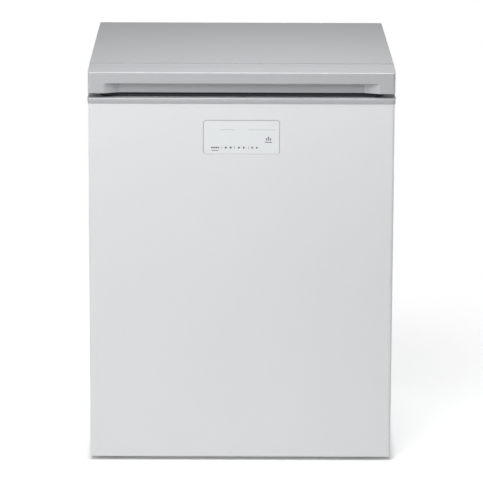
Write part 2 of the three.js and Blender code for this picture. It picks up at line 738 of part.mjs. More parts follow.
// Rows of slots behind the compressor, the fan and the condenser, and a round seat for the cable gland.
const GLAND_RADIUS = 9;
const GLAND_INSET = 81;
const GLAND_DROP = 40;
const GLAND_X = GLAND_INSET - CABINET_WIDTH / 2;
const GLAND_Z = MACHINE_TOP - GLAND_DROP;
function machineRoomCover() {
  const half = CABINET_WIDTH / 2;
  const bottom = FLOOR_CLEARANCE;
  const louvres = [COMPRESSOR_X, FAN_X, CONDENSER_X].flatMap((x) =>
    Array.from({ length: LOUVRE_ROWS }, (_, row) =>
      roundedPoints(x, LOUVRE_LOW + LOUVRE_PITCH * row, LOUVRE_LENGTH, LOUVRE_HEIGHT, LOUVRE_HEIGHT / 2, 1),
    ),
  );
  const gland = circle(GLAND_X, GLAND_Z, GLAND_RADIUS, 12);
  const sheet = outline(
    [
      [-half, bottom],
      [half, bottom],
      [half, MACHINE_TOP + SHEET - FIT],
      [-half, MACHINE_TOP + SHEET - FIT],
    ],
    [...louvres, gland],
  );
  return rearwards(sheet, CABINET_DEPTH - SHEET, SHEET);
}

// The bushing that the mains lead would leave through.
function cordGland() {
  const flange = 2.5;
  const neck = GLAND_RADIUS - FIT;
  const bore = 4;
  const turnedPiece = new THREE.LatheGeometry(
    [
      [bore, -6],
      [neck, -6],
      [neck, SHEET + FIT],
      [GLAND_RADIUS + 5, SHEET + FIT],
      [GLAND_RADIUS + 5, SHEET + FIT + flange],
      [neck - 1, 11],
      [bore, 11],
      [bore, -6],
    ].map(([radius, y]) => new THREE.Vector2(radius, y)),
    12,
  );
  return turnedPiece.translate(GLAND_X, CABINET_DEPTH - SHEET, GLAND_Z);
}

const MOUNT_Z = PAN_FACE + FIT + GROMMET_HEIGHT;
const SUCTION_Z = MOUNT_Z + 0.55 * COMPRESSOR_HEIGHT;
const SUCTION_Y = COMPRESSOR_Y - 30;
const MOUNT_X = COMPRESSOR_WIDTH / 2 + 6;
const MOUNT_Y = 62;
const MOUNT_POINTS = [
  [-MOUNT_X, -MOUNT_Y],
  [MOUNT_X, -MOUNT_Y],
  [MOUNT_X, MOUNT_Y],
  [-MOUNT_X, MOUNT_Y],
];
// The welded shell: an oval can with a domed top, a girth weld and three pipe stubs.
function compressor() {
  const can = turned(
    [
      [0, 0],
      [56, 0],
      [70, 10],
      [75, 26],
      [75, 84],
      [78, 84],
      [78, 90],
      [74, 90],
      [73, 128],
      [62, 152],
      [36, 166],
      [0, 170],
    ],
    16,
  )
    .scale(COMPRESSOR_WIDTH / 156, COMPRESSOR_BREADTH / 156, COMPRESSOR_HEIGHT / 170)
    .translate(COMPRESSOR_X, COMPRESSOR_Y, MOUNT_Z + FIT + MOUNT_PLATE + 0.5);
  const discharge = lying(rod(4, 60, 8)).translate(STUB_END - 60, COMPRESSOR_Y, DISCHARGE_Z);
  const suction = lying(rod(5, 60, 8)).translate(STUB_END - 60, SUCTION_Y, SUCTION_Z);
  return join(can, discharge, suction, compressorPlate());
}

function compressorPlate() {
  const corner = 14;
  return upwards(
    outline(
      roundedPoints(COMPRESSOR_X, COMPRESSOR_Y, 2 * (MOUNT_X + corner), 2 * (MOUNT_Y + corner), corner, 3),
      MOUNT_POINTS.map(([x, y]) => circle(COMPRESSOR_X + x, COMPRESSOR_Y + y, 6, 8)),
    ),
    MOUNT_Z + FIT,
    MOUNT_PLATE + 2,
  );
}

// Four rubber grommets under the compressor's plate, each with its neck in the plate's hole, tied by a rail.
function compressorMount() {
  const rail = 3;
  const grommets = MOUNT_POINTS.map(([x, y]) =>
    turned(
      [
        [0, 0],
        [GROMMET_RADIUS, 0],
        [GROMMET_RADIUS - 3, 5],
        [GROMMET_RADIUS - 3, 9],
        [GROMMET_RADIUS, GROMMET_HEIGHT],
        [5.4, GROMMET_HEIGHT],
        [5.4, GROMMET_HEIGHT + 9],
        [0, GROMMET_HEIGHT + 9],
      ],
      6,
    ).translate(COMPRESSOR_X + x, COMPRESSOR_Y + y, PAN_FACE + FIT),
  );
  const rails = [-MOUNT_Y, MOUNT_Y].map((y) =>
    block(
      COMPRESSOR_X - MOUNT_X,
      COMPRESSOR_X + MOUNT_X,
      COMPRESSOR_Y + y - 8,
      COMPRESSOR_Y + y + 8,
      PAN_FACE + FIT,
      PAN_FACE + FIT + rail,
    ),
  );
  const tie = block(
    COMPRESSOR_X - 8,
    COMPRESSOR_X + 8,
    COMPRESSOR_Y - MOUNT_Y,
    COMPRESSOR_Y + MOUNT_Y,
    PAN_FACE + FIT,
    PAN_FACE + FIT + rail,
  );
  return join(...grommets, ...rails, tie);
}

function compressorTerminalCover() {
  const rect = { x: 0, y: 0, width: 56, depth: 60, radius: 6 };
  const west = COMPRESSOR_X - COMPRESSOR_WIDTH / 2;
  return loft([ring(rect, 0, 0), ring(rect, 0, 22), ring(rect, 4, 28)])
    .rotateY(-Math.PI / 2)
    .translate(west - FIT, COMPRESSOR_Y, MOUNT_Z + COMPRESSOR_HEIGHT / 2);
}

// A serpentine pipe through pressed fins. Its inlet comes over the fan from the compressor and its outlet
// turns up.
const CONDENSER_LOW = PAN_FACE + 24;
const CONDENSER_HIGH = CONDENSER_LOW + CONDENSER_PITCH * (CONDENSER_ROWS - 1);
const CONDENSER_LAYER = 36; // each layer of pipe from the middle
const OUTLET_TOP = CONDENSER_HIGH + 34;
const DISCHARGE_Z = MOUNT_Z + 0.75 * COMPRESSOR_HEIGHT;
function condenser() {
  const west = CONDENSER_X - CONDENSER_RUN / 2;
  const east = CONDENSER_X + CONDENSER_RUN / 2;
  const near = COMPRESSOR_Y - CONDENSER_LAYER;
  const far = COMPRESSOR_Y + CONDENSER_LAYER;
  const rows = Array.from({ length: CONDENSER_ROWS }, (_, k) => CONDENSER_LOW + CONDENSER_PITCH * k);
  const leg = (y, z, eastbound) => (eastbound ? [west, east] : [east, west]).map((x) => [x, y, z]);
  const down = rows.toReversed().flatMap((z, k) => leg(near, z, k % 2 === 0));
  const up = rows.flatMap((z, k) => leg(far, z, k % 2 === 0));
  const over = FAN_Z + FAN_FRAME + 14;
  const inlet = [
    [STUB_END + FIT, COMPRESSOR_Y, DISCHARGE_Z],
    [STUB_END + 30, COMPRESSOR_Y, DISCHARGE_Z],
    [STUB_END + 30, COMPRESSOR_Y, over],
    [west, near, over],
  ];
  const outlet = [west, far, OUTLET_TOP];
  const coil = pipe([...inlet, ...down, ...up, outlet], CONDENSER_TUBE / 2, 12, 5, 2);
  const fins = Array.from({ length: FIN_COUNT }, (_, i) => {
    const x = west + 22 + ((CONDENSER_RUN - 44) * i) / (FIN_COUNT - 1);
    return block(x - 0.5, x + 0.5, near - 18, far + 18, PAN_FACE + FIT, CONDENSER_HIGH + 14);
  });
  return join(coil, ...fins);
}

// The copper drier stands between the condenser's outlet and the ceiling.
function filterDrier() {
  const height = MACHINE_TOP - FIT - OUTLET_TOP - FIT;
  return turned(
    [
      [0, 0],
      [3.2, 0],
      [3.2, 6],
      [9, 12],
      [9, height - 14],
      [3.2, height - 8],
      [3.2, height],
      [0, height],
    ],
    12,
  ).translate(CONDENSER_X - CONDENSER_RUN / 2, COMPRESSOR_Y + CONDENSER_LAYER, OUTLET_TOP + FIT);
}

// The return pipe, from the end of the evaporator's tail to the compressor's suction stub.
function suctionLine() {
  const y = TUB.y + TUB.depth / 2 + COIL_LINE;
  return pipe(
    [
      [TAIL_X, y, COIL_END - FIT],
      [TAIL_X, y, SUCTION_Z],
      [TAIL_X, SUCTION_Y, SUCTION_Z],
      [STUB_END + FIT, SUCTION_Y, SUCTION_Z],
    ],
    COIL_TUBE / 2,
    10,
    8,
    3,
  );
}

// The electronics case hangs from the machine room's ceiling and is closed from below.
const CONTROL_BOX_GAP = 12; // from the bulkhead, and about as much from the side wall
const CONTROL_BOX_WEST = -INNER_HALF + CONTROL_BOX_GAP + PAN_SHEET + FIT;
const CONTROL_BOX_FRONT = MACHINE_FRONT + CONTROL_BOX_GAP;
const CONTROL_BOX = rectangle(
  CONTROL_BOX_WEST,
  CONTROL_BOX_WEST + CONTROL_BOX_WIDTH,
  CONTROL_BOX_FRONT,
  CONTROL_BOX_FRONT + CONTROL_BOX_DEPTH,
  5,
);
const CONTROL_BOX_BOTTOM = MACHINE_TOP - CONTROL_BOX_HEIGHT;
function controlBox() {
  const top = MACHINE_TOP - FIT;
  return loft([
    ring(CONTROL_BOX, 2, top - 2, 2),
    ring(CONTROL_BOX, 2, CONTROL_BOX_BOTTOM, 2),
    ring(CONTROL_BOX, 0, CONTROL_BOX_BOTTOM, 2),
    ring(CONTROL_BOX, 0, top, 2),
  ]);
}

function controlBoxCover() {
  return loft([
    ring(CONTROL_BOX, 0, CONTROL_BOX_BOTTOM - 4 - FIT, 2),
    ring(CONTROL_BOX, 0, CONTROL_BOX_BOTTOM - FIT, 2),
    ring(CONTROL_BOX, 2 + FIT, CONTROL_BOX_BOTTOM - FIT, 2),
    ring(CONTROL_BOX, 2 + FIT, CONTROL_BOX_BOTTOM + 4, 2),
    ring(CONTROL_BOX, 5, CONTROL_BOX_BOTTOM + 4, 2),
    ring(CONTROL_BOX, 5, CONTROL_BOX_BOTTOM - 2, 2),
  ]);
}

// The fan's square shroud stands across the machine room, its round mouth ringed by a rolled lip.
const FAN_FRAME = FAN_RADIUS + 14; // half of the square plate
const FAN_Z = PAN_FACE + FIT + FAN_FRAME;
function fanShroud() {
  const plate = eastwards(
    outline(roundedPoints(COMPRESSOR_Y, FAN_Z, 2 * FAN_FRAME, 2 * FAN_FRAME, 8, 2), [
      circle(COMPRESSOR_Y, FAN_Z, FAN_RADIUS + 4),
    ]),
    FAN_X,
    3,
  );
  const lip = eastwards(
    outline(circle(COMPRESSOR_Y, FAN_Z, FAN_RADIUS + 7), [circle(COMPRESSOR_Y, FAN_Z, FAN_RADIUS + 4)]),
    FAN_X,
    24,
  );
  const spokes = [0, 1, 2].map((i) => {
    const spoke = block(-3, 3, -4, 4, 15, FAN_RADIUS + 5);
    return spoke.rotateX((2 * Math.PI * i) / 3 + 0.4).translate(FAN_X + 27, COMPRESSOR_Y, FAN_Z);
  });
  const ringMount = eastwards(
    outline(circle(COMPRESSOR_Y, FAN_Z, 20, 16), [circle(COMPRESSOR_Y, FAN_Z, 15.3, 16)]),
    FAN_X + 22,
    8,
  );
  return join(plate, lip, ...spokes, ringMount);
}

function fanMotor() {
  return lying(
    turned(
      [
        [0, 0],
        [2, 0],
        [2, 16],
        [15, 16],
        [15, 44],
        [10, 48],
        [0, 48],
      ],
      12,
    ),
  ).translate(FAN_X + 2, COMPRESSOR_Y, FAN_Z);
}

// A hub with pitched blades on the motor's shaft.
const FAN_PITCH = 35;
function fanBlades() {
  const hub = lying(
    turned(
      [
        [0, -8],
        [FAN_HUB - 5, -8],
        [FAN_HUB, -2],
        [FAN_HUB, 14],
        [2.3, 14],
        [2.3, 0],
        [0, 0],
      ],
      12,
    ),
  );
  const blades = Array.from({ length: FAN_BLADES }, (_, i) =>
    block(-1, 1, -18, 18, FAN_HUB - 3, FAN_RADIUS - 4)
      .rotateZ(THREE.MathUtils.degToRad(FAN_PITCH))
      .translate(6, 0, 0)
      .rotateX((2 * Math.PI * i) / FAN_BLADES),
  );
  return join(hub, ...blades).translate(FAN_X + 2, COMPRESSOR_Y, FAN_Z);
}

// ---------------------------------------------------------------- feet and rollers
function levellingFoot(side) {
  return turned(
    [
      [0, 0],
      [FOOT_RADIUS - 1.5, 0],
      [FOOT_RADIUS, 1.5],
      [FOOT_RADIUS, 3.5],
      [FOOT_RADIUS - 3, 5],
      [STUD_RADIUS, 5],
      [STUD_RADIUS, STUD_TOP - 1],
      [STUD_RADIUS - 1, STUD_TOP],
      [0, STUD_TOP],
    ],
    12,
  ).translate(side * FOOT_X, FOOT_Y, 0);
}

function roller(side) {
  const bore = AXLE_RADIUS + AXLE_GAP;
  return lying(
    turned(
      [
        [bore, 0],
        [ROLLER_RADIUS - 2, 0],
        [ROLLER_RADIUS, 2],
        [ROLLER_RADIUS, ROLLER_WIDTH - 2],
        [ROLLER_RADIUS - 2, ROLLER_WIDTH],
        [bore, ROLLER_WIDTH],
        [bore, 0],
      ],
      16,
    ),
  ).translate(side * ROLLER_X - ROLLER_WIDTH / 2, ROLLER_Y, ROLLER_RADIUS);
}

// A bent strip over each wheel: two ears that hold the axle, a bridge and two feet on the pan.
const EAR_GAP = 1; // from the wheel to each ear
function rollerBracket(side) {
  const inner = ROLLER_WIDTH / 2 + EAR_GAP;
  const outer = inner + PAN_SHEET + 0.8;
  const foot = outer + 9;
  const low = PAN_FACE + FIT;
  const bridge = 2 * ROLLER_RADIUS + 4;
  const strip = [
    [-foot, low],
    [-outer, low],
    [-outer, ROLLER_RADIUS - 7],
    [-inner, ROLLER_RADIUS - 7],
    [-inner, bridge],
    [inner, bridge],
    [inner, ROLLER_RADIUS - 7],
    [outer, ROLLER_RADIUS - 7],
    [outer, low],
    [foot, low],
    [foot, low + 2],
    [outer, low + 2],
    [outer, bridge + 2],
    [-outer, bridge + 2],
    [-outer, low + 2],
    [-foot, low + 2],
  ];
  const body = rearwards(outline(strip), ROLLER_Y - 13, 26).translate(side * ROLLER_X, 0, 0);
  const bore = lying(rod(AXLE_RADIUS + AXLE_GAP, 60, 12));
  const hole = bore.translate(side * ROLLER_X - 30, ROLLER_Y, ROLLER_RADIUS);
  const headRoom = [-1, 1].map((end) => {
    const span = [end * outer, end * (foot + 1)].sort((a, b) => a - b);
    const reach = AXLE_RADIUS + 4;
    return block(...span, -reach, reach, 0, low + 3).translate(side * ROLLER_X, ROLLER_Y, 0);
  });
  return cut(body, hole, ...headRoom);
}

function rollerAxle(side) {
  const half = ROLLER_WIDTH / 2 + EAR_GAP + PAN_SHEET + 0.8 + FIT;
  return lying(
    turned(
      [
        [0, -2],
        [AXLE_RADIUS + 2, -2],
        [AXLE_RADIUS + 2, 0],
        [AXLE_RADIUS, 0],
        [AXLE_RADIUS, 2 * half + 2],
        [0, 2 * half + 2],
      ],
      16,
    ),
  ).translate(side * ROLLER_X - half, ROLLER_Y, ROLLER_RADIUS);
}

// ---------------------------------------------------------------- hinges
const BRACKET_FRONT = CABINET_DEPTH + FIT;
const BRACKET_PLATE = 2.5;
const BRACKET_HEIGHT = 68;
const BRACKET_BOTTOM = CABINET_TOP - BRACKET_HEIGHT;
const EAR_INNER = EAR_SPACING / 2;
const PIN_HALF = EAR_INNER + HINGE_PLATE + 3;
const KNUCKLE_LENGTH = 28;
const KNUCKLE_WEST = -EAR_INNER + PIN_GAP + 0.5; // the knuckle's end beside the left ear

const hingeDisc = (radius, x, width) => eastwards(outline(circle(HINGE_Y, HINGE_Z, radius)), x, width);

// Screwed to the cabinet's back: a plate with two ears that carry the pin.
function hingeBracket(x) {
  const half = PIN_HALF + 0.5;
  const top = CABINET_TOP - FIT;
  const plate = block(x - half, x + half, BRACKET_FRONT, BRACKET_FRONT + BRACKET_PLATE, BRACKET_BOTTOM, top);
  const ear = [
    [BRACKET_FRONT, BRACKET_BOTTOM + 8],
    [HINGE_Y, BRACKET_BOTTOM + 34],
    [HINGE_Y + EAR_RADIUS, HINGE_Z],
    [HINGE_Y - EAR_RADIUS, HINGE_Z],
    [BRACKET_FRONT + 6, top],
    [BRACKET_FRONT, top],
  ];
  const ears = [x - EAR_INNER - HINGE_PLATE, x + EAR_INNER].flatMap((west) => [
    eastwards(outline(ear), west, HINGE_PLATE),
    hingeDisc(EAR_RADIUS, west, HINGE_PLATE),
  ]);
  return cut(join(plate, ...ears), hingeDisc(PIN_RADIUS + PIN_GAP, x - PIN_HALF, 2 * PIN_HALF));
}

const hingePin = (x) => lying(rod(PIN_RADIUS, 2 * PIN_HALF)).translate(x - PIN_HALF, HINGE_Y, HINGE_Z);

// Screwed to the lid's back: a plate, and a knuckle on the pin joined to it by a web.
function hingeLeaf(x) {
  const front = LID_REAR + FIT;
  const rear = front + BRACKET_PLATE;
  const bottom = LID_BOTTOM + 2;
  const plate = block(x - EAR_INNER - 5, x + EAR_INNER + 5, front, rear, bottom, LID_EDGE_TOP - 2);
  const web = [
    [front, bottom],
    [HINGE_Y - 4.5, HINGE_Z - 6.6],
    [HINGE_Y + 6.4, HINGE_Z + 4.8],
    [rear, bottom + 24],
    [front, bottom + 24],
  ];
  const west = x + KNUCKLE_WEST;
  const knuckle = hingeDisc(KNUCKLE_RADIUS, west, KNUCKLE_LENGTH);
  const bore = hingeDisc(PIN_RADIUS + PIN_GAP, west - 1, KNUCKLE_LENGTH + 2);
  return cut(join(plate, eastwards(outline(web), west, KNUCKLE_LENGTH), knuckle), bore);
}

// A torsion spring round the pin: one leg lifts the lid's rear edge, the other bears on the bracket.
function hingeSpring(x) {
  const start = x + 4;
  const perTurn = 8;
  const steps = perTurn * (SPRING_TURNS + 0.5);
  const rise = (EAR_INNER - 8) / steps;
  const coil = Array.from({ length: steps + 1 }, (_, k) => {
    const angle = Math.PI / 2 - (2 * Math.PI * k) / perTurn;
    const y = HINGE_Y + SPRING_RADIUS * Math.cos(angle);
    return [start + rise * k, y, HINGE_Z + SPRING_RADIUS * Math.sin(angle)];
  });
  const end = start + rise * steps;
  const bearing = BRACKET_FRONT + BRACKET_PLATE + FIT + SPRING_WIRE / 2;
  const path = [
    [start, LID_REAR - 10, HINGE_Z + SPRING_RADIUS],
    ...coil,
    [end, bearing + 8, HINGE_Z - SPRING_RADIUS - 1],
    [end, bearing + 1.2, HINGE_Z - 20],
    [end, bearing, HINGE_Z - 28],
    [end, bearing, HINGE_Z - 50],
  ];
  return tube(
    path.map((point) => new THREE.Vector3(...point)),
    SPRING_WIRE / 2,
    5,
  );
}

// A moulded cover over each hinge, open to the top so the lid can swing, with a slot in its back that the
// leaf's arm swings down into when the lid is open.
const ARM_SLOT_GAP = 2;
const ARM_SLOT_DEPTH = 9;
function hingeCover(x) {
  const inside = PIN_HALF + 1;
  const outside = inside + HINGE_COVER_WALL;
  const rear = CABINET_DEPTH + HINGE_COVER_DEPTH;
  const bottom = BRACKET_BOTTOM - 4;
  const top = HINGE_Z + HINGE_COVER_HEIGHT;
  const shell = loft([
    [
      [x - outside, BRACKET_FRONT, bottom],
      [x + outside, BRACKET_FRONT, bottom],
      [x + outside, rear - 10, bottom],
      [x - outside, rear - 10, bottom],
    ],
    [
      [x - outside, BRACKET_FRONT, bottom + 24],
      [x + outside, BRACKET_FRONT, bottom + 24],
      [x + outside, rear, bottom + 24],
      [x - outside, rear, bottom + 24],
    ],
    [
      [x - outside, BRACKET_FRONT, top],
      [x + outside, BRACKET_FRONT, top],
      [x + outside, rear, top],
      [x - outside, rear, top],
    ],
  ]);
  const wall = HINGE_COVER_WALL;
  const hollow = loft([
    [
      [x - inside, BRACKET_FRONT - 1, bottom + wall],
      [x + inside, BRACKET_FRONT - 1, bottom + wall],
      [x + inside, rear - 10 - wall, bottom + wall],
      [x - inside, rear - 10 - wall, bottom + wall],
    ],
    [
      [x - inside, BRACKET_FRONT - 1, bottom + 24],
      [x + inside, BRACKET_FRONT - 1, bottom + 24],
      [x + inside, rear - wall, bottom + 24],
      [x - inside, rear - wall, bottom + 24],
    ],
    [
      [x - inside, BRACKET_FRONT - 1, top + 1],
      [x + inside, BRACKET_FRONT - 1, top + 1],
      [x + inside, rear - wall, top + 1],
      [x - inside, rear - wall, top + 1],
    ],
  ]);
  const collarNotch = block(
    x - outside - 1,
    x + outside + 1,
    0,
    CABINET_DEPTH + FRAME_OVERHANG + FIT,
    CABINET_TOP - FIT,
    top + 1,
  );
  const armSlot = block(
    x + KNUCKLE_WEST - ARM_SLOT_GAP,
    x + KNUCKLE_WEST + KNUCKLE_LENGTH + ARM_SLOT_GAP,
    HINGE_Y,
    rear + 1,
    top - ARM_SLOT_DEPTH,
    top + 1,
  );
  return cut(shell, hollow, collarNotch, armSlot);
}

// ---------------------------------------------------------------- lid
const SLOPE_REAR = LID_SLOPE_DEPTH - LID_LEAD; // where the sloping moulding meets the flat top
const GRIP_BEAM = 34; // the moulding is solid this far back, round the finger recess
const slopeAt = (y) => LID_EDGE_TOP + (LID_CROWN * (y + LID_LEAD)) / LID_SLOPE_DEPTH;

// The sloping front moulding, with a finger recess that is open below and hooks up behind its front edge.
function lidFrontGrip() {
  const tilt = Math.atan2(LID_CROWN, LID_SLOPE_DEPTH);
  const edgeY = LID_EDGE - LID_LEAD;
  const edgeZ = slopeAt(edgeY) - LID_EDGE / Math.cos(tilt);
  const steps = 5;
  const edge = Array.from({ length: steps + 1 }, (_, i) => {
    const angle = Math.PI - ((Math.PI / 2 - tilt) * i) / steps;
    return [edgeY + LID_EDGE * Math.cos(angle), edgeZ + LID_EDGE * Math.sin(angle)];
  });
  const profile = [
    [-LID_LEAD, LID_BOTTOM],
    ...edge,
    [SLOPE_REAR, slopeAt(SLOPE_REAR)],
    [SLOPE_REAR, LID_BOTTOM],
  ];
  const bar = eastwards(outline(profile), -LID_WIDTH / 2, LID_WIDTH);
  const plan = loft([ring(LID, 0, LID_BOTTOM - 1), ring(LID, 0, LID_TOP + 1)]);
  const hollow = [
    [GRIP_BEAM - LID_LEAD, LID_BOTTOM - 1],
    [GRIP_BEAM - LID_LEAD, slopeAt(GRIP_BEAM - LID_LEAD) - LID_WALL],
    [SLOPE_REAR + 1, slopeAt(SLOPE_REAR + 1) - LID_WALL],
    [SLOPE_REAR + 1, LID_BOTTOM - 1],
  ];
  const half = LID_WIDTH / 2 - LID_WALL;
  return cut(common(bar, plan), eastwards(outline(hollow), -half, 2 * half), fingerRecess());
}

function fingerRecess() {
  const beyond = 1; // the cutter runs on past the front face along the same slant
  const frame = (halfWidth, roof, depth) => [
    [-halfWidth, LID_BOTTOM - 1, depth],
    [halfWidth, LID_BOTTOM - 1, depth],
    [halfWidth, roof, depth],
    [-halfWidth, roof, depth],
  ];
  const flare = (GRIP_TAPER * beyond) / GRIP_DEPTH;
  const climb = (GRIP_ROOF * beyond) / GRIP_DEPTH;
  const roof = LID_BOTTOM + GRIP_HEIGHT;
  return loft([
    frame(GRIP_WIDTH / 2 - GRIP_TAPER, roof + GRIP_ROOF, 0),
    frame(GRIP_WIDTH / 2 + flare, roof - climb, GRIP_DEPTH + beyond),
  ])
    .rotateX(Math.PI / 2)
    .translate(0, GRIP_DEPTH - LID_LEAD, 0);
}

// The rest of the lid's outside: flat top, sides and rear in one thin moulding.
function lidShell() {
  const round = 2.4;
  const outside = loft([
    ring(LID, 0, LID_BOTTOM),
    ring(LID, 0, LID_TOP - round),
    ring(LID, round * 0.3, LID_TOP - round * 0.3),
    ring(LID, round, LID_TOP),
  ]);
  const inside = loft([ring(LID, LID_WALL, LID_BOTTOM - 1), ring(LID, LID_WALL, LID_TOP - LID_WALL)]);
  const front = block(-LID_WIDTH, LID_WIDTH, -LID_LEAD - 1, SLOPE_REAR + FIT, LID_BOTTOM - 1, LID_TOP + 1);
  return cut(outside, inside, front);
}

const LINER_WALL = 2;
const LINER_EDGE = rectangle(
  -LID_WIDTH / 2 + LID_WALL + FIT,
  LID_WIDTH / 2 - LID_WALL - FIT,
  GRIP_BEAM - LID_LEAD + FIT,
  LID_REAR - LID_WALL - FIT,
  LID_CORNER - LID_WALL,
);
const PLUG_INSET = FIT + FRAME_WALL + PLUG_CLEARANCE;
function lidInnerLiner() {
  const bottom = LID_BOTTOM - PLUG_DROP;
  const round = 8;
  return loft([
    ring(TUB, PLUG_INSET + round, bottom),
    ring(TUB, PLUG_INSET + round * 0.3, bottom + round * 0.3),
    ring(TUB, PLUG_INSET, bottom + round),
    ring(TUB, PLUG_INSET, LID_BOTTOM),
    ring(LINER_EDGE, 0, LID_BOTTOM),
    ring(LINER_EDGE, 0, LID_BOTTOM + LINER_WALL),
    ring(TUB, PLUG_INSET + LINER_WALL, LID_BOTTOM + LINER_WALL),
    ring(TUB, PLUG_INSET + LINER_WALL, bottom + round),
    ring(TUB, PLUG_INSET + round, bottom + LINER_WALL),
  ]);
}

// The foamed core fills the shell, the hollow of the moulding and the liner's plug.
function lidFoam() {
  const low = LID_BOTTOM + LINER_WALL + FIT;
  const front = GRIP_BEAM - LID_LEAD + FIT;
  const under = (y) => slopeAt(y) - LID_WALL - FIT;
  const section = [
    [front, low],
    [LID_REAR - LID_WALL - FIT, low],
    [LID_REAR - LID_WALL - FIT, LID_TOP - LID_WALL - FIT],
    [SLOPE_REAR, under(SLOPE_REAR)],
    [front, under(front)],
  ];
  const half = LID_WIDTH / 2 - LID_WALL - FIT;
  const plan = loft([ring(LINER_EDGE, 0, low - 1), ring(LINER_EDGE, 0, LID_TOP)]);
  const core = common(eastwards(outline(section), -half, 2 * half), plan);
  const inset = PLUG_INSET + LINER_WALL + FIT;
  const plug = loft([
    ring(TUB, inset + 8, LID_BOTTOM - PLUG_DROP + LINER_WALL + FIT),
    ring(TUB, inset, LID_BOTTOM - PLUG_DROP + 9),
    ring(TUB, inset, low + 1),
  ]);
  return join(core, plug);
}

// A closed loop of bellows section under the lid.
function lidGasket() {
  const low = FRAME_TOP + FIT;
  const high = LID_BOTTOM - FIT;
  const loop = [
    [0, low],
    [0, low + 5],
    [3, low + 6.4],
    [1, high],
    [SEAL_WIDTH - 1, high],
    [SEAL_WIDTH - 3, low + 6.4],
    [SEAL_WIDTH, low + 5],
    [SEAL_WIDTH, low],
  ];
  const path = { ...LID, radius: 20 + SEAL_SETBACK };
  return loft(
    loop.map(([inset, z]) => ring(path, SEAL_SETBACK + inset, z)),
    true,
  );
}

// ---------------------------------------------------------------- kimchi boxes
const BOX_STEPS = 3; // facets in a quarter circle of a box's corner
const BOX_FLOOR = TUB_FLOOR + FIT;
const BOX_RIM = BOX_FLOOR + BOX_HEIGHT;
const BOX_WIDTH = TUB.width / 2 - DIVIDER_THICK / 2 - 2 * BOX_GAP;
const BOX_DEPTH = (TUB.depth - 2 * BOX_GAP - BOX_REAR_GAP) / 2;
const BOX_RIM_INSET = BOX_WALL + FIT; // the box's rim sits inside its lid's skirt

function boxPlan(column, row) {
  const x = column * (DIVIDER_THICK / 2 + BOX_GAP + BOX_WIDTH / 2);
  const front = WALL_FRONT + BOX_GAP + row * (BOX_DEPTH + BOX_GAP);
  return rectangle(x - BOX_WIDTH / 2, x + BOX_WIDTH / 2, front, front + BOX_DEPTH, BOX_CORNER);
}

function kimchiBox(plan) {
  const round = 6;
  const base = BOX_RIM_INSET + BOX_DRAFT;
  return loft([
    ring(plan, base + round, BOX_FLOOR, BOX_STEPS),
    ring(plan, base + round * 0.3, BOX_FLOOR + round * 0.3, BOX_STEPS),
    ring(plan, base, BOX_FLOOR + round, BOX_STEPS),
    ring(plan, BOX_RIM_INSET, BOX_RIM, BOX_STEPS),
    ring(plan, BOX_RIM_INSET + BOX_WALL, BOX_RIM, BOX_STEPS),
    ring(plan, base + BOX_WALL, BOX_FLOOR + round, BOX_STEPS),
    ring(plan, base + BOX_WALL + round * 0.6, BOX_FLOOR + BOX_WALL, BOX_STEPS),
  ]);
}

function kimchiBoxLid(plan) {
  const skirt = BOX_LID_HEIGHT - 8;
  const top = BOX_RIM + BOX_LID_HEIGHT - skirt;
  return loft([
    ring(plan, BOX_WALL, BOX_RIM + FIT, BOX_STEPS),
    ring(plan, BOX_WALL, BOX_RIM - skirt, BOX_STEPS),
    ring(plan, 0, BOX_RIM - skirt, BOX_STEPS),
    ring(plan, 0, top - 2, BOX_STEPS),
    ring(plan, 2, top, BOX_STEPS),
    ring(plan, 12, top, BOX_STEPS),
    ring(plan, 14, top - 3, BOX_STEPS),
  ]);
}

// ---------------------------------------------------------------- the whole refrigerator
add("front_panel", frontPanel(), "panel");
add("rear_panel", rearPanel(), "steel");
add("base_pan", basePan(), "galvanised");
add("top_frame", topFrame(), "silver");
add("inner_liner", innerLiner(), "tub");
add("evaporator_coil", evaporatorCoil(), "copper");
add("insulation_foam", insulationFoam(), "foam");
add("tub_divider", tubDivider(), "liner");
add("thermistor_cover", thermistorCover(), "liner");
add("control_plate", controlPlate(), "plate");
add("display_housing", displayHousing(), "black");
add("display_board", displayBoard(), "circuit");
add("machine_room_bulkhead", machineRoomBulkhead(), "galvanised");
add("machine_room_cover", machineRoomCover(), "steel");
add("cord_gland", cordGland(), "rubber");
add("compressor", compressor(), "black");
add("compressor_mount", compressorMount(), "rubber");
add("compressor_terminal_cover", compressorTerminalCover(), "nylon");
add("condenser", condenser(), "galvanised");
add("filter_drier", filterDrier(), "copper");
add("suction_line", suctionLine(), "copper");
add("control_box", controlBox(), "nylon");
add("control_box_cover", controlBoxCover(), "nylon");
add("fan_shroud", fanShroud(), "nylon");
add("fan_motor", fanMotor(), "galvanised");
add("fan_blades", fanBlades(), "nylon");
for (const [name, side] of SIDES) {
  add(`side_panel_${name}`, sidePanel(side), "steel");
  add(`levelling_foot_${name}`, levellingFoot(side), "rubber");
  add(`roller_${name}`, roller(side), "nylon");
  add(`roller_bracket_${name}`, rollerBracket(side), "galvanised");
  add(`roller_axle_${name}`, rollerAxle(side), "galvanised");
  add(`hinge_bracket_${name}`, hingeBracket(side * HINGE_X), "galvanised");
  add(`hinge_pin_${name}`, hingePin(side * HINGE_X), "galvanised");
  add(`hinge_spring_${name}`, hingeSpring(side * HINGE_X), "galvanised");
  add(`hinge_cover_${name}`, hingeCover(side * HINGE_X), "silver");
  add(`hinge_leaf_${name}`, hingeLeaf(side * HINGE_X), "galvanised");
}
add("lid_shell", lidShell(), "silver");
add("lid_front_grip", lidFrontGrip(), "silver");
add("lid_inner_liner", lidInnerLiner(), "liner");
add("lid_foam", lidFoam(), "foam");
add("lid_gasket", lidGasket(), "gasket");
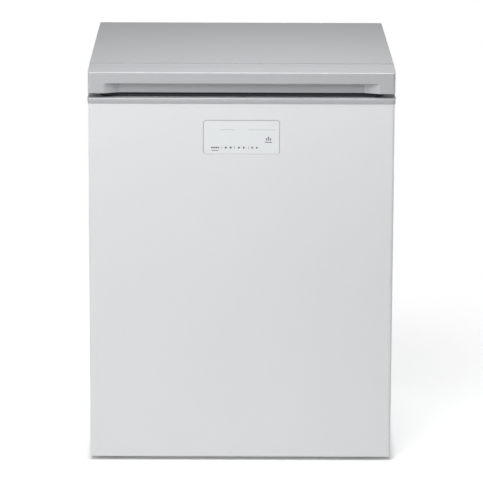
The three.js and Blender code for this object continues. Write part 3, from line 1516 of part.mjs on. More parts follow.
for (const [row, place] of ["front", "rear"].entries()) {
  for (const [name, side] of SIDES) {
    const plan = boxPlan(side, row);
    add(`kimchi_box_${place}_${name}`, kimchiBox(plan), "box");
    add(`kimchi_box_lid_${place}_${name}`, kimchiBoxLid(plan), "boxLid");
  }
}

// The middle of the footprint, lid's front to hinge covers, goes to the origin.
refrigerator.position.y = -(CABINET_DEPTH + HINGE_COVER_DEPTH - LID_LEAD) / 2;

export default refrigerator;
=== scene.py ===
import json
import math

import bmesh
import bpy
import numpy as np
from mathutils import Matrix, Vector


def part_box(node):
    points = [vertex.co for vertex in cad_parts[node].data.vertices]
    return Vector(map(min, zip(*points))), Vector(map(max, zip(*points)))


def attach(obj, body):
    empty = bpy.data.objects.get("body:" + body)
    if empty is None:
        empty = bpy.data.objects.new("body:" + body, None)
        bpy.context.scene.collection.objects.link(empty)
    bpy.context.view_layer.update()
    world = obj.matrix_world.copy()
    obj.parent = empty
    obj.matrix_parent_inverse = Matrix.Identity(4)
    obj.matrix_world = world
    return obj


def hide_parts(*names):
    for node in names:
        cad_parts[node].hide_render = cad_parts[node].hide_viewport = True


bl_info = {
    "name": "Kimchi Refrigerator",
    "version": (1, 0, 0),
    "blender": (4, 5, 0),
    "location": "View3D > Sidebar > Refrigerator",
    "description": "Dresses a chest-style kimchi refrigerator in coated steel, silver plastic and fittings",
    "category": "Add Mesh",
}

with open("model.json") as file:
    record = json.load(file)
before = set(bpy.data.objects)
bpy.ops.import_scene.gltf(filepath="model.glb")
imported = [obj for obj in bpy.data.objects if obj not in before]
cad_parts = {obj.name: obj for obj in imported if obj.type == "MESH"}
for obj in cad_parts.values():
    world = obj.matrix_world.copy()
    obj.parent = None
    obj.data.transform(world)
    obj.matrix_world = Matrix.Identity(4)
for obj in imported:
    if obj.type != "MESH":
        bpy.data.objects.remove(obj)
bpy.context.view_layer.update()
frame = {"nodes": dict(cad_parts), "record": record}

MM = 0.001
HEART = np.array([0.0, 0.0, 0.44])  # a point inside the cabinet, which its outer faces point away from
SIDES = (("left", -1), ("right", 1))
BOX_PLACES = [f"{row}_{name}" for row in ("front", "rear") for name, _ in SIDES]
HELD_FINISHES = {}  # each slot's material, once it is made


def linear(code):
    """Turns an sRGB hex colour to linear red, green and blue."""
    srgb = np.array([int(code[i:i + 2], 16) for i in (1, 3, 5)]) / 255
    return tuple(np.where(srgb <= 0.04045, srgb / 12.92, ((srgb + 0.055) / 1.055) ** 2.4).tolist())


# ---------------------------------------------------------------- places taken from the frame


def span(*nodes):
    """West, east, front, rear, bottom and top of the box round some CAD nodes."""
    corners = np.array([[tuple(corner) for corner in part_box(node)] for node in nodes])
    low, high = corners[:, 0].min(0), corners[:, 1].max(0)
    return low[0], high[0], low[1], high[1], low[2], high[2]


def grown(rect, west=0.0, east=0.0, front=0.0, rear=0.0):
    """A rectangle (west, east, front, rear) with some of its sides moved outwards."""
    return rect[0] - west, rect[1] + east, rect[2] - front, rect[3] + rear


RIM_WIDTH = 12 * MM  # the tub's rim, turned out all round
TUB = grown(span("inner_liner")[:4], -RIM_WIDTH, -RIM_WIDTH, -RIM_WIDTH, -RIM_WIDTH)
TUB_CORNER = 24 * MM
PLATE_CORNER = 6 * MM
PANEL_FACE = span("front_panel")[2]

# ---------------------------------------------------------------- shapes as whole arrays


def rings(rects, radii, heights, steps):
    """Rounded rectangles stacked at heights, as an array (rings, 4 * (steps + 1), 3).

    A point is its corner's centre + radius * (cos, sin) of an angle that runs a quarter turn per corner:
    north-east, north-west, south-west, south-east. rects holds west, east, front, rear of each ring.
    """
    west, east, front, rear = np.asarray(rects, float).T
    corner = np.stack([np.stack([east, west, west, east], 1), np.stack([rear, rear, front, front], 1)], 2)
    outwards = np.array([(1, 1), (-1, 1), (-1, -1), (1, -1)])
    radii = np.maximum(np.broadcast_to(radii, corner.shape[:2]), 0.1 * MM)
    angle = (np.arange(4)[:, None] + np.linspace(0, 1, steps + 1)) * math.pi / 2
    turn = np.stack([np.cos(angle), np.sin(angle)], 2)
    centre = corner - outwards * radii[..., None]
    flat = centre[:, :, None] + radii[..., None, None] * turn
    flat = flat.reshape(len(flat), -1, 2)
    height = np.broadcast_to(np.asarray(heights, float)[:, None, None], (*flat.shape[:2], 1))
    return np.concatenate([flat, height], 2)


def drawn_in(rect, radius, profile, steps, sides=(1, 1, 1, 1), least=0.0):
    """Rings of one rounded rectangle, each drawn in by its profile point's inset and set at its height.

    Side = side moved inwards by inset, corner radius = radius - inset, but never under least. sides says
    which of west, east, front and rear are drawn in at all.
    """
    inset, height = np.asarray(profile, float).T
    rects = np.array(rect) + inset[:, None] * np.array([1, -1, 1, -1]) * np.array(sides)
    radii = np.maximum(np.broadcast_to(radius, 4) - inset[:, None], least)
    return rings(rects, radii, height, steps)


def unit(vectors):
    """Vectors brought to length 1, along the last axis."""
    return vectors / np.maximum(np.linalg.norm(vectors, axis=-1, keepdims=True), 1e-9)


def filleted(path, radii, steps=5, closed=False):
    """Rounds a path's corners. path is (..., points, 2), and each corner gives steps + 1 points.

    A corner's arc = centre + the start and end spokes mixed by sin((1 - t) a) / sin(a) and sin(t a) / sin(a),
    where the centre lies on the bisector at radius / sin(half angle). The radius shrinks where a side is
    short.
    """
    path = np.asarray(path, float)
    radii = np.array(radii, float)
    if not closed:
        radii[0] = radii[-1] = 0
    before = np.roll(path, 1, -2) - path
    after = np.roll(path, -1, -2) - path
    shorter = np.minimum(np.linalg.norm(before, axis=-1), np.linalg.norm(after, axis=-1))
    before, after = unit(before), unit(after)
    half = np.arccos(np.clip((before * after).sum(-1), -1, 1)) / 2
    slope = np.maximum(np.tan(np.minimum(half, math.pi / 2 - 1e-4)), 1e-4)
    tangent = np.minimum(radii / slope, 0.49 * shorter)
    radius = tangent * slope
    centre = unit(before + after) * (radius / np.maximum(np.sin(half), 1e-4))[..., None]
    start = before * tangent[..., None]
    end = after * tangent[..., None]
    t = np.linspace(0, 1, steps + 1)
    sweep = (math.pi - 2 * half)[..., None]
    safe = np.maximum(np.sin(sweep), 1e-6)
    first = (np.sin((1 - t) * sweep) / safe)[..., None]
    last = (np.sin(t * sweep) / safe)[..., None]
    arc = centre[..., None, :] + first * (start - centre)[..., None, :] + last * (end - centre)[..., None, :]
    line = (1 - t)[:, None] * start[..., None, :] + t[:, None] * end[..., None, :]
    plain = ((radius < 1e-7) | (math.pi - 2 * half < 1e-3))[..., None, None]
    rounded = path[..., None, :] + np.where(plain, line, arc)
    return rounded.reshape(*path.shape[:-2], -1, 2)


def grid_faces(rows, columns, wrap_rows=False, wrap_columns=False):
    """The quads of a grid of points, as an array (rows, columns, 4) of point numbers."""
    row = np.arange(rows if wrap_rows else rows - 1)[:, None]
    column = np.arange(columns if wrap_columns else columns - 1)[None, :]
    below, above = row * columns, (row + 1) % rows * columns
    beside = (column + 1) % columns
    return np.stack([below + column, below + beside, above + beside, above + column], 2)


def stacked(loops, caps=(), wrap=False):
    """A part made of rings joined row to row. caps lists the rings that are closed with one flat face."""
    rows, columns = loops.shape[:2]
    faces = [grid_faces(rows, columns, wrap, True).reshape(-1, 4)]
    faces += [(np.arange(columns) + (row % rows) * columns)[None] for row in caps]
    return loops.reshape(-1, 3), faces


def window(cell, hole, radius, lip, depth, steps=8):
    """A flat cell with a rounded opening whose edge turns in. Returns (u, v, w) points, w being the depth.

    The turned edge is a quarter circle: inset = lip * (sin a - 1), depth = lip * (1 - cos a). The flat border
    is a fan of triangles from each cell corner to its arc, and one quad along each side.
    """
    angle = np.linspace(0, math.pi / 2, 5)
    inset = np.append(lip * (np.sin(angle) - 1), 0)
    sunk = np.append(lip * (1 - np.cos(angle)), depth)
    loops = drawn_in(hole, radius, np.stack([inset, sunk], 1), steps)
    west, east, low, high = cell
    corners = np.array([(east, high, 0), (west, high, 0), (west, low, 0), (east, low, 0)])
    arcs = 4 + np.arange(4 * (steps + 1)).reshape(4, -1)
    own = np.repeat(np.arange(4)[:, None], steps, 1)
    fans = np.stack([own, arcs[:, :-1], arcs[:, 1:]], 2).reshape(-1, 3)
    following = (np.arange(4) + 1) % 4
    sides = np.stack([np.arange(4), arcs[:, -1], arcs[following, 0], following], 1)
    edge = grid_faces(*loops.shape[:2], wrap_columns=True).reshape(-1, 4) + 4
    return np.concatenate([corners, loops.reshape(-1, 3)]), [fans, sides, edge]


def turned(profile, middle, axis="Z", steps=48, wrap=False):
    """A lathe: each (radius, height) point is carried round a circle, x = r cos a, y = r sin a.

    The turning axis is Z, X (heights run east) or Y (heights run to the front). A closed profile wraps.
    """
    radius, height = np.asarray(profile, float).T
    angle = np.linspace(0, 2 * math.pi, steps, endpoint=False)
    x = radius[:, None] * np.cos(angle)
    y = radius[:, None] * np.sin(angle)
    z = np.broadcast_to(height[:, None], x.shape)
    order = {"Z": (x, y, z), "X": (z, x, y), "Y": (x, -z, y)}[axis]
    return stacked(np.stack(order, 2) + np.asarray(middle, float), wrap=wrap)


def upright(part, face, depth=1):
    """Turns a part drawn as (u, v, w) into a wall: u runs east, v up, w back from the face or forwards."""
    points, faces = part
    u, v, w = points.reshape(-1, 3).T
    return np.stack([u, face + depth * w, v], 1), faces


def shape_mesh(name, *parts):
    """One mesh of several parts, its doubled points merged and its faces made to agree."""
    starts = np.cumsum([0] + [len(points) for points, _ in parts])
    faces = [
        face
        for start, (_, groups) in zip(starts, parts)
        for group in groups
        for face in (group + start).tolist()
    ]
    mesh = bpy.data.meshes.new(name)
    mesh.from_pydata(np.concatenate([points for points, _ in parts]).tolist(), [], faces)
    work = bmesh.new()
    work.from_mesh(mesh)
    bmesh.ops.remove_doubles(work, verts=work.verts, dist=0.003 * MM)
    bmesh.ops.dissolve_degenerate(work, edges=work.edges, dist=0.003 * MM)
    bmesh.ops.recalc_face_normals(work, faces=work.faces)
    work.to_mesh(mesh)
    work.free()
    return mesh


def node_mesh(name, node):
    """A copy of a CAD node's mesh, merged and with its flat faces whole, ready for a bevel."""
    mesh = bpy.data.meshes.new(name)
    work = bmesh.new()
    work.from_mesh(frame["nodes"][node].data)
    bmesh.ops.remove_doubles(work, verts=work.verts, dist=0.01 * MM)
    bmesh.ops.dissolve_limit(work, angle_limit=math.radians(0.6), verts=work.verts, edges=work.edges)
    work.to_mesh(mesh)
    work.free()
    return mesh


def read(rows, name, width=3):
    """One property of every vertex or face of a mesh, as an array (count, width)."""
    values = np.empty(len(rows) * width)
    rows.foreach_get(name, values)
    return values.reshape(-1, width)


def faces_outwards(mesh):
    """True if the faces point away from the cabinet's heart: the sum of area * normal . (middle - heart)."""
    faces = mesh.polygons
    along = ((read(faces, "center") - HEART) * read(faces, "normal")).sum(1)
    return along @ read(faces, "area", 1)[:, 0] > 0


def placed(name, data):
    """An object made of some data and put in the scene."""
    thing = bpy.data.objects.new(name, data)
    bpy.context.scene.collection.objects.link(thing)
    return thing


def piece(
    name, form, body, slot, stands_for=(), wall=0.0, bevel=0.0, inward=False, spare=0.5 * MM, finish=None
):
    """Makes a finished piece: faces turned out, wall and bevel baked, smooth shading, finish and body.

    Its form is a list of parts, or the name of the CAD node whose shape it copies. It raises an error if the
    piece leaves the box of the CAD nodes that it stands for.
    """
    mesh = node_mesh(name, form) if isinstance(form, str) else shape_mesh(name, *form)
    if faces_outwards(mesh) == inward:
        mesh.flip_normals()
    thing = placed(name, mesh)
    if wall:
        shell = thing.modifiers.new("wall", "SOLIDIFY")
        shell.thickness = wall
        shell.offset = -1
        shell.use_even_offset = True
    if bevel:
        edge = thing.modifiers.new("edges", "BEVEL")
        edge.width = bevel
        edge.segments = 3
        edge.limit_method = "ANGLE"
        edge.angle_limit = math.radians(38)
        edge.use_clamp_overlap = True
    if wall or bevel:
        bpy.context.view_layer.update()
        graph = bpy.context.evaluated_depsgraph_get()
        baked = bpy.data.meshes.new_from_object(thing.evaluated_get(graph))
        thing.modifiers.clear()
        thing.data = baked
        baked.name = name
    thing.data.shade_smooth()
    thing.data.set_sharp_from_angle(angle=math.radians(35))
    weighted = thing.modifiers.new("flat faces stay flat", "WEIGHTED_NORMAL")
    weighted.keep_sharp = True
    thing.data.materials.clear()
    thing.data.materials.append(material(finish or slot))
    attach(thing, body)
    if stands_for:
        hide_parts(*stands_for)
        points = read(thing.data.vertices, "co")
        limits = np.array(span(*stands_for)).reshape(3, 2)
        past = max((limits[:, 0] - points.min(0)).max(), (points.max(0) - limits[:, 1]).max())
        if past > spare:
            raise RuntimeError(f"{name} stands {past / MM:.2f} mm out of the box of {stands_for}")


# ---------------------------------------------------------------- materials


def add(tree, kind, inputs=None, **settings):
    """Adds a node, sets its properties, and fills each named input with a value or a link."""
    node = tree.nodes.new(kind)
    for name, value in settings.items():
        setattr(node, name, value)
    for name, value in (inputs or {}).items():
        if isinstance(value, bpy.types.NodeSocket):
            tree.links.new(value, node.inputs[name])
        else:
            node.inputs[name].default_value = value
    return node


def emptied(owner):
    """The node tree of a material or a world, with nothing in it yet."""
    owner.use_nodes = True
    owner.node_tree.nodes.clear()
    return owner.node_tree


def cloudy(tree, place, size):
    """A soft uneven pattern from 0 to 1 whose patches are about size metres wide."""
    return add(tree, "ShaderNodeTexNoise", {"Vector": place, "Scale": 1 / size, "Detail": 3.0}).outputs["Fac"]


def spangled(tree, place, size):
    """Flat crystal patches of different greys, as zinc grows on dipped steel."""
    cells = add(tree, "ShaderNodeTexVoronoi", {"Vector": place, "Scale": 1 / size})
    return add(tree, "ShaderNodeRGBToBW", {"Color": cells.outputs["Color"]}).outputs["Val"]


def bubbled(tree, place, size):
    """Rounded cells with low walls between them, as in a cut foam."""
    return add(tree, "ShaderNodeTexVoronoi", {"Vector": place, "Scale": 1 / size}).outputs["Distance"]


def surface(
    name, colour, roughness, metallic, tone, patch, grain, relief, stretch=(1, 1, 1), pattern=cloudy, **fixed
):
    """A procedural surface: sizes in millimetres, a linear colour, a pair of roughnesses for the grain.

    The colour drifts by tone over wide patches, and the grain, stretched along an axis where the metal is
    brushed, lifts the surface by relief. Fixed values go straight onto the shader's own sockets.
    """
    made = bpy.data.materials.new(name)
    tree = emptied(made)
    place = add(tree, "ShaderNodeTexCoord").outputs["Object"]
    fine_place = add(tree, "ShaderNodeMapping", {"Vector": place, "Scale": stretch}).outputs["Vector"]
    drift = cloudy(tree, place, patch * MM)
    fine = pattern(tree, fine_place, grain * MM)
    # Clouds are added to the drift; cells keep their own edges, so the drift only scales them.
    scale = 1.0 if pattern is cloudy else fine
    both = add(tree, "ShaderNodeMath", {0: drift, 1: scale, 2: fine}, operation="MULTIPLY_ADD")
    share = add(tree, "ShaderNodeMapRange", {"Value": both.outputs[0], "From Min": 0.5, "From Max": 1.5})
    darker = tuple(channel * (1 - tone) for channel in colour)
    lighter = tuple(min(channel * (1 + tone), 1) for channel in colour)
    tint = add(
        tree,
        "ShaderNodeMix",
        {0: share.outputs["Result"], 6: (*darker, 1), 7: (*lighter, 1)},
        data_type="RGBA",
    )
    rough = add(
        tree,
        "ShaderNodeMapRange",
        {"Value": fine, "From Min": 0.2, "From Max": 0.8, "To Min": roughness[0], "To Max": roughness[1]},
    )
    raised = add(tree, "ShaderNodeBump", {"Height": fine, "Distance": relief * MM, "Strength": 1.0})
    shader = add(
        tree,
        "ShaderNodeBsdfPrincipled",
        {
            "Base Color": tint.outputs[2],
            "Roughness": rough.outputs["Result"],
            "Metallic": metallic,
            "Normal": raised.outputs["Normal"],
            **fixed,
        },
    )
    add(tree, "ShaderNodeOutputMaterial", {"Surface": shader.outputs["BSDF"]})
    return made


def finishes():
    """Every finish: the real material, how its surface was made, and what that gives the eye.

    A row holds the material's name, colour, roughness, metallic, tone, and the sizes of patch, grain and
    relief in millimetres.
    """
    shade = bpy.context.scene.fridge_colours
    milky = {"Subsurface Weight": 0.25, "Subsurface Radius": (0.01, 0.01, 0.01), "Subsurface Scale": 0.4}
    rows = {
        # Pre-coated steel, a baked film on rolled sheet: satin, with a slow ripple left by the rolls.
        "coated_steel_front": ("precoated_steel_front", shade.front, (0.34, 0.4), 0, 0.012, 260, 9, 0.012),
        # The same film in a plainer grade on the sides and back, a little duller.
        "coated_steel": ("precoated_steel_sides", shade.sides, (0.4, 0.48), 0, 0.015, 200, 7, 0.014),
        # Moulded ABS sprayed silver: metal flakes under lacquer, here drawn as 2.5 mm clouds because real
        # flakes of 0.03 mm are too fine to show.
        "silver_plastic": ("silver_painted_abs", shade.silver, (0.37, 0.44), 0.15, 0.02, 150, 2.5, 0.006),
        # Clear acrylic printed from behind in the panel's colour: smooth, a little glossier than the steel.
        "panel_plastic": ("printed_acrylic", shade.plate, (0.2, 0.26), 0, 0.006, 120, 12, 0.004),
        # Hot-dipped steel: flat zinc spangles about 8 mm wide, each its own grey.
        "galvanised_steel": ("galvanised_steel", linear("#B4B8BA"), (0.3, 0.5), 1, 0.12, 90, 8, 0.01),
        # Rolled aluminium brushed level round the tub: lines 0.6 mm apart, coarser than the real ones.
        "tub_aluminium": ("brushed_aluminium", shade.tub, (0.26, 0.42), 1, 0.05, 60, 25, 0.004),
        # Blown polyurethane: cream, open-celled where it is cut.
        "polyurethane_foam": ("polyurethane_foam", linear("#E8DDB5"), (0.85, 0.95), 0, 0.08, 40, 2.5, 0.3),
        # High-impact polystyrene drawn over a mould: soft white satin.
        "white_plastic": ("vacuum_formed_polystyrene", shade.liner, (0.38, 0.46), 0, 0.012, 140, 6, 0.01),
        # Soft vinyl of the seal, extruded: matt dark grey with fine draw lines.
        "gasket_rubber": ("extruded_vinyl_seal", linear("#45474A"), (0.6, 0.72), 0, 0.06, 30, 1.2, 0.02),
        # Moulded rubber: matt black, bloomed grey in patches.
        "black_rubber": ("moulded_rubber", linear("#2A2B2D"), (0.7, 0.85), 0, 0.12, 15, 1.5, 0.03),
        # Drawn copper pipe, handled and darkened in patches.
        "copper": ("drawn_copper", linear("#B87046"), (0.25, 0.45), 1, 0.15, 25, 5, 0.01),
        # Stoved black enamel on the compressor's pressed shell.
        "black_steel": ("stoved_enamel", linear("#222426"), (0.3, 0.42), 0, 0.1, 40, 3, 0.03),
        # Glass-filled nylon and polypropylene mouldings with an etched skin.
        "black_plastic": ("etched_nylon", linear("#333539"), (0.5, 0.62), 0, 0.06, 30, 1.4, 0.03),
        # Glass-fibre laminate under green resist.
        "circuit_board": ("circuit_laminate", linear("#2F6B46"), (0.35, 0.5), 0, 0.12, 12, 2, 0.02),
        # Unfilled polypropylene, moulded with a frosted skin: milky, letting a little light in.
        "box_plastic": ("frosted_polypropylene", shade.boxes, (0.42, 0.55), 0, 0.02, 70, 2, 0.015),
        # Grey polypropylene of the box lids, softer and matt.
        "box_lid_plastic": ("moulded_polypropylene", shade.box_lids, (0.45, 0.56), 0, 0.03, 70, 2, 0.02),
        # Grey screen ink, drawn thick enough to catch the light as ink does.
        "screen_ink": ("screen_ink", shade.marks, (0.45, 0.55), 0, 0.05, 8, 1, 0.002),
        # The same ink let down with white for the bars over the keys.
        "faint_ink": ("faint_screen_ink", shade.bars, (0.4, 0.5), 0, 0.04, 8, 1, 0.002),
    }
    extras = {
        "galvanised_steel": {"pattern": spangled},
        "tub_aluminium": {"stretch": (1, 1, 40)},
        "polyurethane_foam": {"pattern": bubbled},
        "box_plastic": milky,
    }
    return rows, extras


def material(slot):
    """The finish of a slot, made the first time that it is asked for."""
    if slot not in HELD_FINISHES:
        rows, extras = finishes()
        HELD_FINISHES[slot] = surface(*rows[slot], **extras.get(slot, {}))
    return HELD_FINISHES[slot]


# ---------------------------------------------------------------- sizes and colours a user would change


def length(name, description, millimetres):
    """A length property of a part of the refrigerator, given in millimetres."""
    size = millimetres * MM
    return bpy.props.FloatProperty(
        name=name, description=description, default=size, min=0.0, unit="LENGTH", subtype="DISTANCE"
    )


def colour(name, description, code):
    """A colour property whose default is written as sRGB hex."""
    return bpy.props.FloatVectorProperty(
        name=name, description=description, default=linear(code), min=0, max=1, size=3, subtype="COLOR"
    )


class FridgeSizes(bpy.types.PropertyGroup):
    """Radii, walls and depths of the refrigerator's pieces."""

    panel_corner: length("Panel corner", "Radius of the front panel's upright corners", 6)
    bottom_fold: length("Bottom fold", "Radius where the front panel folds in under the cabinet", 2)
    sheet: length("Sheet", "Thickness of the coated steel", 1)
    side_fold: length("Side fold", "Radius of the side panels' folded edges", 1.6)
    plate_gap: length("Plate gap", "Gap round the touch plate", 0.55)
    window_lip: length("Window lip", "Radius of the panel's edge round the touch plate", 1.6)
    bead_height: length("Bead height", "How far the rear panel's beads stand out", 3)
    lid_corner: length("Lid corner", "Radius of the lid's upright corners", 6)
    lid_edge: length("Lid edge", "Radius of the lid's front top edge", 2.5)
    lid_brim: length("Lid brim", "Radius of the lid's side and rear top edges", 2.4)
    grip_depth: length("Grip depth", "Depth of the finger recess", 15)
    grip_ramp: length("Grip ramp", "Width of the sloping wall at each end of the finger recess", 30)
    box_corner: length("Box corner", "Radius of the kimchi box lids' corners", 26)
    arc_steps: bpy.props.IntProperty(
        name="Arc steps", description="Facets in a quarter of a large corner", default=10, min=3, max=24
    )


class FridgeColours(bpy.types.PropertyGroup):
    """Colours of the refrigerator's main finishes."""

    front: colour("Front", "Coated steel of the front panel", "#E1E3E4")
    sides: colour("Sides", "Coated steel of the sides and back", "#DCDEDF")
    silver: colour("Silver", "Painted plastic of the lid and collar", "#BDBFC1")
    plate: colour("Plate", "Printed touch plate", "#E6E9EA")
    marks: colour("Marks", "Ink of the touch plate's marks", "#3F4346")
    bars: colour("Bars", "Fainter ink of the bars over the keys", "#C4C8CA")
    tub: colour("Tub", "Brushed aluminium tub", "#D5D8DA")
    liner: colour("Liner", "White liner of the lid", "#E8EAEB")
    boxes: colour("Boxes", "Frosted kimchi boxes", "#E2E5E4")
    box_lids: colour("Box lids", "Lids of the kimchi boxes", "#8F969A")


# ---------------------------------------------------------------- cabinet


class FRIDGE_OT_front_panel(bpy.types.Operator):
    """Wraps the coated front panel round its corners and under the cabinet, with the touch plate's window"""

    bl_idname = "fridge.front_panel"
    bl_label = "Front Panel"

    def execute(self, context):
        size = context.scene.fridge_sizes
        steps = size.arc_steps
        west, east, front, rear, bottom, top = span("front_panel")
        fold, turned_in = 12 * MM, 2.4 * MM
        profile = filleted([(fold, bottom), (0, bottom), (0, top)], [0, size.bottom_fold, 0], 4)
        radii = (0, 0, size.panel_corner, size.panel_corner)
        plan = (west, east, front, rear)
        loops = drawn_in(plan, radii, profile, steps, sides=(1, 1, 1, 0))
        points, (faces,) = stacked(loops)
        faces = faces.reshape(len(loops) - 1, -1, 4)
        keep = np.ones(faces.shape[:2], bool)
        keep[:, : 2 * steps + 1] = False  # the panel is open at the back
        keep[-5, 3 * steps + 2] = False  # the flat front, which the window's cell closes
        floor = loops[-6, 0, 2]
        cell = (west + size.panel_corner, east - size.panel_corner, floor, top)
        plate = span("control_plate")
        hole = grown((plate[0], plate[1], plate[4], plate[5]), *[size.plate_gap] * 4)
        opening = window(cell, hole, PLATE_CORNER + 0.6 * MM, size.window_lip, turned_in)
        parts, held = [(points, [faces[keep]]), upright(opening, front)], ["front_panel"]
        piece("front_panel_skin", parts, "cabinet", "coated_steel_front", held, wall=size.sheet, spare=MM)
        return {"FINISHED"}


class FRIDGE_OT_side_panels(bpy.types.Operator):
    """Folds the two side panels in at their front and rear edges"""

    bl_idname = "fridge.side_panels"
    bl_label = "Side Panels"

    def execute(self, context):
        size = context.scene.fridge_sizes
        steps = 6
        for name, side in SIDES:
            node = f"side_panel_{name}"
            *plan, bottom, top = span(node)
            fold = size.side_fold
            radii = (fold, 0, 0, fold) if side > 0 else (0, fold, fold, 0)
            loops = drawn_in(plan, radii, [(0, bottom), (0, top)], steps)
            points, (faces,) = stacked(loops)
            column = np.arange(4 * (steps + 1))
            west_side = (column > steps) & (column < 3 * steps + 2)
            east_side = (column < steps) | (column > 3 * steps + 2)
            panel = (points, [faces[~(west_side if side > 0 else east_side)]])
            piece(f"{node}_skin", [panel], "cabinet", "coated_steel", [node], wall=size.sheet)
        return {"FINISHED"}


LOUVRE_COLUMNS = (-0.170, 0.020, 0.150)  # behind the compressor, the fan and the condenser
LOUVRE_LOW, LOUVRE_PITCH, LOUVRE_ROWS = 0.060, 0.020, 6
LOUVRE_LENGTH, LOUVRE_HEIGHT = 0.092, 0.005
GLAND_PLACE, GLAND_RADIUS = (-0.250, 0.222), 0.009
SEAM_SCREWS = (-0.315, -0.105, 0.105, 0.315)  # across the back, along the cover's seam


def smooth_step(t):
    """0 below 0, 1 above 1 and 3 t^2 - 2 t^3 between."""
    t = np.clip(t, 0, 1)
    return t * t * (3 - 2 * t)


def screw_head(x, y, z):
    """A pan head with a cross recess, seen from behind the cabinet.

    Height = a dome, 1.5 mm at the middle and 0 at radius 3.6 mm, less 0.8 mm within the cross's two arms.
    """
    radius = np.array([0, 0.4, 0.8, 1.3, 1.8, 2.1, 2.7, 3.2, 3.5, 3.6])[:, None] * MM
    angle = np.linspace(0, 2 * math.pi, 32, endpoint=False)[None, :]
    across, up = radius * np.cos(angle), radius * np.sin(angle)
    arms = np.minimum(np.abs(across), np.abs(up)) < 0.42 * MM
    dome = 1.5 * MM * np.sqrt(np.maximum(1 - (radius / (3.6 * MM)) ** 2, 0))
    height = dome - 0.8 * MM * (arms & (radius < 2 * MM))
    return stacked(np.stack([x + across, y + height, z + up], 2), caps=[-1])


class FRIDGE_OT_rear_wall(bpy.types.Operator):
    """Builds the beaded rear panel, the slotted machine-room cover and the screws that hold them"""

    bl_idname = "fridge.rear_wall"
    bl_label = "Rear Wall"

    def rear_panel(self, size):
        """Height = bead height * a smooth step across each bead * a smooth step at its two ends."""
        west, east, front, rear, bottom, top = span("rear_panel")
        beads = (-0.090, 0.090)
        half, slope = 30 * MM, 7 * MM
        start, end, run = bottom + 26 * MM, top - 40 * MM, 14 * MM
        ramp = np.linspace(0, 1, 9) * slope
        edges = [np.concatenate([bead - half + ramp, bead + half - ramp]) for bead in beads]
        x = np.sort(np.concatenate([[west, east], *edges]))
        fade = np.linspace(0, 1, 9) * run
        z = np.concatenate([[bottom], start + fade, np.sort(end - fade), [top]])
        across = sum(smooth_step((half - np.abs(x - bead)) / slope) for bead in beads)
        along = smooth_step((z - start) / run) * smooth_step((end - z) / run)
        y = rear - size.bead_height + size.bead_height * along[:, None] * across[None, :]
        grid = np.stack([np.broadcast_to(x, y.shape), y, np.broadcast_to(z[:, None], y.shape)], 2)
        part = (grid.reshape(-1, 3), [grid_faces(*y.shape).reshape(-1, 4)])
        piece("rear_panel_skin", [part], "cabinet", "coated_steel", ["rear_panel"], wall=size.sheet)

    def cover(self, size):
        """A plane cut into cells, those behind the machines each holding a slot with a turned edge."""
        west, east, front, rear, bottom, top = span("machine_room_cover")
        border, slot_lip, slot_depth = 2 * MM, 1.2 * MM, 2.2 * MM
        half = LOUVRE_LENGTH / 2 + border
        gland_x, gland_z = GLAND_PLACE
        gland_reach = GLAND_RADIUS + 3 * MM
        slots = [edge for middle in LOUVRE_COLUMNS for edge in (middle - half, middle + half)]
        x = np.array([west, gland_x - gland_reach, gland_x + gland_reach, *slots, east])
        rows = LOUVRE_LOW + LOUVRE_PITCH * (np.arange(LOUVRE_ROWS + 1) - 0.5)
        z = np.array([bottom, *rows, gland_z - gland_reach, gland_z + gland_reach, top])
        parts = []
        plain = []
        for i in range(len(x) - 1):
            for j in range(len(z) - 1):
                cell = (x[i], x[i + 1], z[j], z[j + 1])
                if i in (3, 5, 7) and 1 <= j <= LOUVRE_ROWS:
                    middle = (cell[2] + cell[3]) / 2
                    radius = LOUVRE_HEIGHT / 2
                    hole = grown((cell[0], cell[1], middle, middle), -border, -border, radius, radius)
                    parts.append(upright(window(cell, hole, radius, slot_lip, slot_depth, 4), rear, -1))
                elif i == 1 and j == LOUVRE_ROWS + 2:
                    hole = grown((gland_x, gland_x, gland_z, gland_z), *[GLAND_RADIUS] * 4)
                    parts.append(upright(window(cell, hole, GLAND_RADIUS, 0.2 * MM, 0.3 * MM, 8), rear, -1))
                else:
                    west_x, east_x, low, high = cell
                    plain.append([(west_x, low), (east_x, low), (east_x, high), (west_x, high)])
        corners = np.array(plain).reshape(-1, 2)
        flat = np.stack([corners[:, 0], np.full(len(corners), rear), corners[:, 1]], 1)
        parts.append((flat, [np.arange(len(flat)).reshape(-1, 4)]))
        node = "machine_room_cover"
        piece(f"{node}_skin", parts, "cabinet", "coated_steel", [node], wall=size.sheet, spare=4 * MM)

    def execute(self, context):
        size = context.scene.fridge_sizes
        self.rear_panel(size)
        self.cover(size)
        face = span("machine_room_cover")[3]
        bottom, top = span("rear_panel")[4:]
        low = [(x, bottom - 9 * MM) for x in SEAM_SCREWS] + [(x, bottom + 9 * MM) for x in SEAM_SCREWS]
        rest = [(x, z) for x in (SEAM_SCREWS[0], SEAM_SCREWS[3]) for z in (0.045, 0.40, 0.56, top - 14 * MM)]
        heads = [screw_head(x, face, z) for x, z in low + rest]
        piece("rear_screws", heads, "cabinet", "galvanised_steel")
        return {"FINISHED"}


